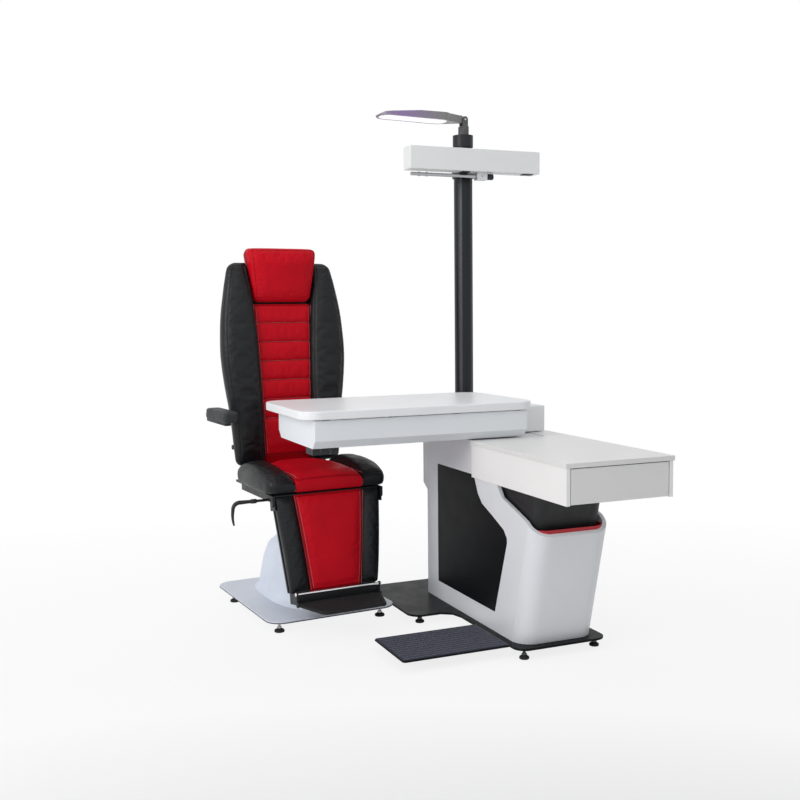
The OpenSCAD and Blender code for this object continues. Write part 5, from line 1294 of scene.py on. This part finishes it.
class MakeStand(bpy.types.Operator):
    """Base plate, cabinet, side table, swinging table, housings, pole and their details"""
    bl_idname = "unit.stand"
    bl_label = "Stand"

    def execute(self, context):
        for node, name, body, look, width, segments in (
                ("base_plate", "Base_plate_coated", "root", "plate black", 0.0014, 2),
                ("cabinet_shell", "Cabinet_shell_lacquered", "root", "cabinet white", 0.0014, 2),
                # The case and drawer box take the laminate lightened as painted light; the top and drawer
                # front take it darkened as painted shade
                ("side_carcass", "Side_table_case", "root", "side white painted light", 0.0007, 2),
                ("side_top", "Side_table_top", "root", "side top painted shade", 0.0011, 2),
                ("drawer_front", "Drawer_front_panel", "drawer", "side top painted shade", 0.0010, 2),
                ("drawer_box", "Drawer_box_shell", "drawer", "side white painted light", 0.0008, 2),
                ("swing_head", "Swing_head_box", "swing_table", "housing white", 0.0025, 3),
                ("tray_body", "Tray_body_folded", "swing_table", "tray white", 0.0016, 3),
                ("table_top", "Table_top_slab", "swing_table", "table white", 0.0042, 4),
                ("mast_housing", "Mast_housing_case", "root", "housing white", 0.003, 3),
                ("arm_box", "Arm_box_case", "arm", "housing white", 0.0020, 3),
                ("arm_collar", "Arm_collar_cast", "arm", "frame black", 0.0015, 2),
                ("rod_clamp", "Rod_clamp_block", "arm", "silver metal", 0.0016, 3),
                ("pole_clamps", "Pole_clamp_blocks", "root", "frame black", 0.0016, 3),
                ("lamp_head", "Lamp_head_case", "lamp_head", "lamp grey", 0.0012, 3),
                ("lamp_neck", "Lamp_neck_fork", "lamp_neck", "dark metal", 0.0012, 2),
                ("step_plate", "Step_plate_coated", "root", "plate black", 0.0008, 2)):
            eased_copy(node, name, body, look, width, segments)
        self.pole(context.scene.unit_sizes.flute_depth)
        self.feet()
        self.step_mat(context.scene.unit_sizes.rib_pitch)
        self.knob()
        self.all_screws()
        self.details()
        self.button_marks()
        for look, nodes in (
                ("panel black", ("left_inset_panel", "right_inset_panel")), ("hollow black", ("inner_body",)),
                ("lining red", ("trough_trim",)), ("frame black", ("pole_cap",)),
                ("silver metal", ("swing_bearing", "swing_spindle")),
                ("zinc", ("drawer_runners", "lamp_pin")),
                ("black plastic", ("top_spacers", "control_box", "power_inlet")),
                ("dark button", ("button_up", "button_down")), ("lamp lens", ("lamp_diffuser",)),
                ("brushed steel", ("phoropter_rod", "headrest_posts")), ("dark metal", ("lift_outer",)),
                ("chrome", ("lift_inner", "hinge_rod")), ("rubber", ("chair_feet",))):
            for node in nodes:
                mesh = NODES[node].data
                mesh.materials.clear()
                mesh.materials.append(finish(look))
        return {"FINISHED"}

    def pole(self, depth):
        """Pole: a tube whose radius dips in four grooves with rounded lips, over a foot flange."""
        a = ring_angles(360)
        turn = (a - math.radians(45) + math.pi / 4) % (math.pi / 2) - math.pi / 4
        dip = depth / (1 + (np.abs(turn) / 0.105) ** 10)
        lip = 0.0005 * np.exp(-((np.abs(turn) - 0.15) / 0.03) ** 2)
        r = POLE_R - dip - lip
        z = np.array([0.050, 0.0505, 0.30, 0.9, 1.5, POLE_TOP - 0.0005, POLE_TOP])[:, None]
        rings = np.stack([POLE_X + r * np.cos(a) + 0 * z, POLE_Y + r * np.sin(a) + 0 * z, z + 0 * a], -1)
        # Painted highlight: the groove edges, and half as much the groove floors, get a tone that the pole's
        # coat paints paler
        groove_highlight = np.exp(-((np.abs(turn) - 0.125) / 0.02) ** 2) + 0.5 * np.exp(-(turn / 0.1) ** 6)
        form = Form()
        form.grid(rings, round_v=True, tone=np.broadcast_to(np.clip(groove_highlight, 0, 1), rings.shape[:2]))
        form.cap(rings[0])
        form.cap(rings[-1])
        flange = [(0.0555, 0), (0.056, 0.0008), (0.056, 0.0085), (0.0545, 0.010), (0.041, 0.0102),
                  (0.0392, 0.0125), (0.0384, 0.016)]
        turned(form, (POLE_X, POLE_Y, 0.040), (0, 0, 1), flange, 96)
        form.piece("Pole_fluted", "root", "pole black highlit", "pole", stand_place, 30, True)

    def feet(self):
        """Levelling feet: a turned rubber pad with a swelling edge, a threaded stem and a six-sided nut."""
        short, long = 0.032, 0.036
        stand = [((x, y, 0.0), 0.017, short) for x, y in (
            (0.42 * 0.354, -0.92 * 0.548), (-0.40 * 0.354, -0.955 * 0.548), (-0.44 * 0.354, 0.915 * 0.430),
            (0.42 * 0.354, 0.915 * 0.430), (-0.345 + 0.051, 0))]
        stand.append(((-0.176 - 0.297, -0.494 + 0.131, 0.0), 0.017, long))
        chair = [((u * 0.259, v * 0.658 - 0.035, 0.0), 0.019, 0.040)
                 for u, v in ((-0.81, 0.071), (0.78, 0.071), (-0.87, 0.78), (0.87, 0.78))]
        thread = 0.0050 - 0.0004 * (np.arange(60) % 3 == 0)
        for name, group, node, place, metal in (
                ("Stand_feet", stand, "table_feet", stand_place, "dark metal"),
                ("Chair_feet_pads", chair, "chair_feet", chair_place, "zinc")):
            pads, stems = Form(), Form()
            for at, r, top in group:
                at = place(at)
                turned(pads, at, (0, 0, 1), [(r * 0.90, 0), (r, 0.0015), (r, 0.006), (r * 0.93, 0.0085),
                                             (r * 0.62, 0.011), (r * 0.55, 0.0138), (r * 0.5, 0.0142)])
                turned(stems, at, (0, 0, 1), np.stack([thread, np.linspace(0.012, top, 60)], -1), 20)
                turned(stems, at, (0, 0, 1), [(0.0085, 0.0145), (0.0092, 0.0152), (0.0092, 0.0186),
                                              (0.0085, 0.0194)], 6)
            pads.piece(name, "root", "rubber", node, crease=35, stands=True)
            stems.piece(name + "_stems", "root", metal, node, crease=30)

    def step_mat(self, pitch):
        """Step mat: its height is ridges across the mat times staggered breaks along them, over a ground."""
        low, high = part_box("step_mat")
        u, v = np.linspace(0, 1, 300), np.linspace(0, 1, 230)
        y = low.y + (high.y - low.y) * v
        pull = corner_pull(np.minimum(y - low.y, high.y - y), 0.009)
        x = (low.x + pull)[:, None] + (high.x - low.x - 2 * pull)[:, None] * u[None]
        y = y[:, None] + 0 * x
        row = (y - low.y) / pitch
        ridge = np.abs(np.sin(np.pi * row)) ** 0.9
        shift = np.where(np.floor(row) % 2 == 0, 0.0, 0.5)
        brick = np.abs(np.sin(np.pi * ((x - low.x) / (0.42 * pitch) + shift))) ** 1.1
        edge = np.minimum(np.minimum(x - low.x, high.x - x), np.minimum(y - low.y, high.y - y))
        height = ridge * brick * np.clip((edge - 0.004) / 0.003, 0, 1)
        z = low.z + 0.0032 + 0.0018 * height - 0.0010 * np.exp(-edge / 0.001)
        top = np.stack([x, y, z], -1)
        form = Form()
        # The rib height goes in as tone, which the mat's finish turns into painted shade in the valleys and
        # painted light on the tops
        form.grid(top, tone=np.clip(height, 0, 1))
        rim = Pad.rim(top)
        floor = rim.copy()
        floor[:, 2] = low.z + 0.0001
        form.grid(np.stack([rim, floor]), round_v=True)
        form.piece("Step_mat_ribbed", "root", "step mat", "step_mat", crease=60, stands=True)

    def knob(self):
        """Rod clamp knob: a turned body with a finely knurled rim, on its pin."""
        form, at = Form(), POLE_X + 0.061
        turned(form, (at, ROD_Y, ROD_Z), (1, 0, 0), rounded_profile(0.012, 0.0004, 0.031, 0.0016), 144,
               fluted(24, 0.05))
        turned(form, (at - 0.008, ROD_Y, ROD_Z), (1, 0, 0), rounded_profile(0.0040, 0, 0.012, 0.0004), 24)
        form.piece("Rod_clamp_knob", "clamp_knob", "black plastic", "clamp_knob", stand_place, 40, True)

    def all_screws(self):
        """Screws and bolts of the foot flange, the cabinet's back, the arm box and the pole clamps."""
        turns, out = np.radians(45 + 90 * np.arange(4)), 0.048
        flange = np.stack([POLE_X + out * np.cos(turns), POLE_Y + out * np.sin(turns), np.full(4, 0.050)], -1)
        clamps = [(POLE_X + x, 0.4222, z) for z in (0.535, 0.655) for x in (-0.044, 0.044)]
        housing = [(x, 0.3001, z) for x in (-0.12, 0.12) for z in (0.51, 0.67)]
        box = [(x, 0.3241, z) for x in (-0.163, 0.347) for z in (1.75, 1.795)]
        back = [(x, 0.2372, z) for x in (-0.11, 0.11) for z in (0.10, 0.62)]
        ahead, behind, up = (0, -1, 0), (0, 1, 0), (0, 0, 1)
        for name, body, node, rows in (
                ("Pole_foot_bolts", "root", "pole", [(flange, up, 0.0055)]),
                ("Cabinet_back_screws", "root", "cabinet_shell", [(back, behind, 0.0048)]),
                ("Arm_screws", "arm", "rod_clamp",
                 [(box, behind, 0.0036), ([(POLE_X + 0.038, ROD_Y - 0.0152, ROD_Z)], ahead, 0.0042)]),
                ("Pole_clamp_bolts", "root", "pole_clamps",
                 [(clamps, behind, 0.0048), (housing, behind, 0.0042)])):
            screws(name, body, node, stand_place, rows)

    def details(self):
        """Service panel with louvres, pins of the inlet and plates under the arm box."""
        panel, run = Form(), np.linspace(-1, 1, 12)
        slab(panel, (-0.125, 0.2371, 0.085), (0.0, 0.2386, 0.40), 0.0012)
        for z in 0.30 + 0.0095 * np.arange(9):
            path = np.stack([np.linspace(-0.105, -0.020, 12), np.full(12, 0.2388), np.full(12, z)], -1)
            sweep(panel, path, 0.0026 * np.sqrt(np.maximum(0.05, 1 - run**6)), 10, (0, 1, 0.2))
        panel.piece("Cabinet_service_panel", "root", "cabinet white", "cabinet_shell", stand_place)
        pins = Form()
        for x, z in ((0.031, 0.117), (0.040, 0.124), (0.049, 0.117)):
            slab(pins, (x - 0.0012, 0.226, z - 0.0028), (x + 0.0012, 0.238, z + 0.0028), 0.0005)
        pins.piece("Inlet_pins", "root", "brass", "power_inlet", stand_place)
        under = Form()
        slab(under, (0.305, 0.262, 1.7245), (0.350, 0.292, 1.7285), 0.0012)
        slab(under, (POLE_X - 0.055, 0.262, 1.7235), (POLE_X - 0.021, 0.314, 1.7285), 0.0014)
        under.piece("Arm_box_underplates", "arm", "black plastic", "arm_collar", stand_place)

    def button_marks(self):
        """A raised triangle beside each push button, pointing up or down."""
        marks, (low, high) = Form(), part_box("control_box")
        for share, way in ((0.3, 1), (0.7, -1)):
            x, y = low.x + (high.x - low.x) * share, low.y - 0.0001
            z = (low.z + high.z) / 2 + 0.0092 * way
            flat = np.array([[x - 0.0016, y, z - 0.001 * way], [x + 0.0016, y, z - 0.001 * way],
                             [x, y, z + 0.0014 * way]])
            raised = flat - np.array([0, 0.0003, 0])
            marks.grid(np.stack([flat, raised]), round_v=True)
            marks.cap(raised)
        marks.piece("Button_arrow_marks", "swing_table", "grey plastic", "control_box")


class UNIT_PT_dressing(bpy.types.Panel):
    """Lists the steps that dress the unit"""
    bl_label = "Eye Unit"
    bl_idname = "UNIT_PT_dressing"
    bl_space_type = "VIEW_3D"
    bl_region_type = "UI"
    bl_category = "Eye Unit"

    def draw(self, context):
        for group in (context.scene.unit_finish, context.scene.unit_sizes, context.scene.unit_studio):
            box = self.layout.box()
            for key in group.bl_rna.properties.keys():
                if key not in ("rna_type", "name"):
                    box.prop(group, key)
        for step in STEPS:
            self.layout.operator(step.bl_idname)


STEPS = (MakeStage, MakeStand, MakeChairHardware, MakeSeat, MakeLegRest, MakeBack, SwellCushions)
CLASSES = (UnitFinish, UnitSizes, UnitStudio, *STEPS, UNIT_PT_dressing)


def register():
    for kind in CLASSES:
        bpy.utils.register_class(kind)
    bpy.types.Scene.unit_finish = PointerProperty(type=UnitFinish)
    bpy.types.Scene.unit_sizes = PointerProperty(type=UnitSizes)
    bpy.types.Scene.unit_studio = PointerProperty(type=UnitStudio)


def unregister():
    del bpy.types.Scene.unit_studio, bpy.types.Scene.unit_sizes, bpy.types.Scene.unit_finish
    for kind in reversed(CLASSES):
        bpy.utils.unregister_class(kind)


def main():
    register()
    bpy.ops.unit.stage()
    bpy.ops.unit.stand()
    bpy.ops.unit.chair_hardware()
    bpy.ops.unit.seat()
    bpy.ops.unit.leg_rest()
    bpy.ops.unit.back()
    bpy.ops.unit.swell()


if __name__ == "__main__":
    main()
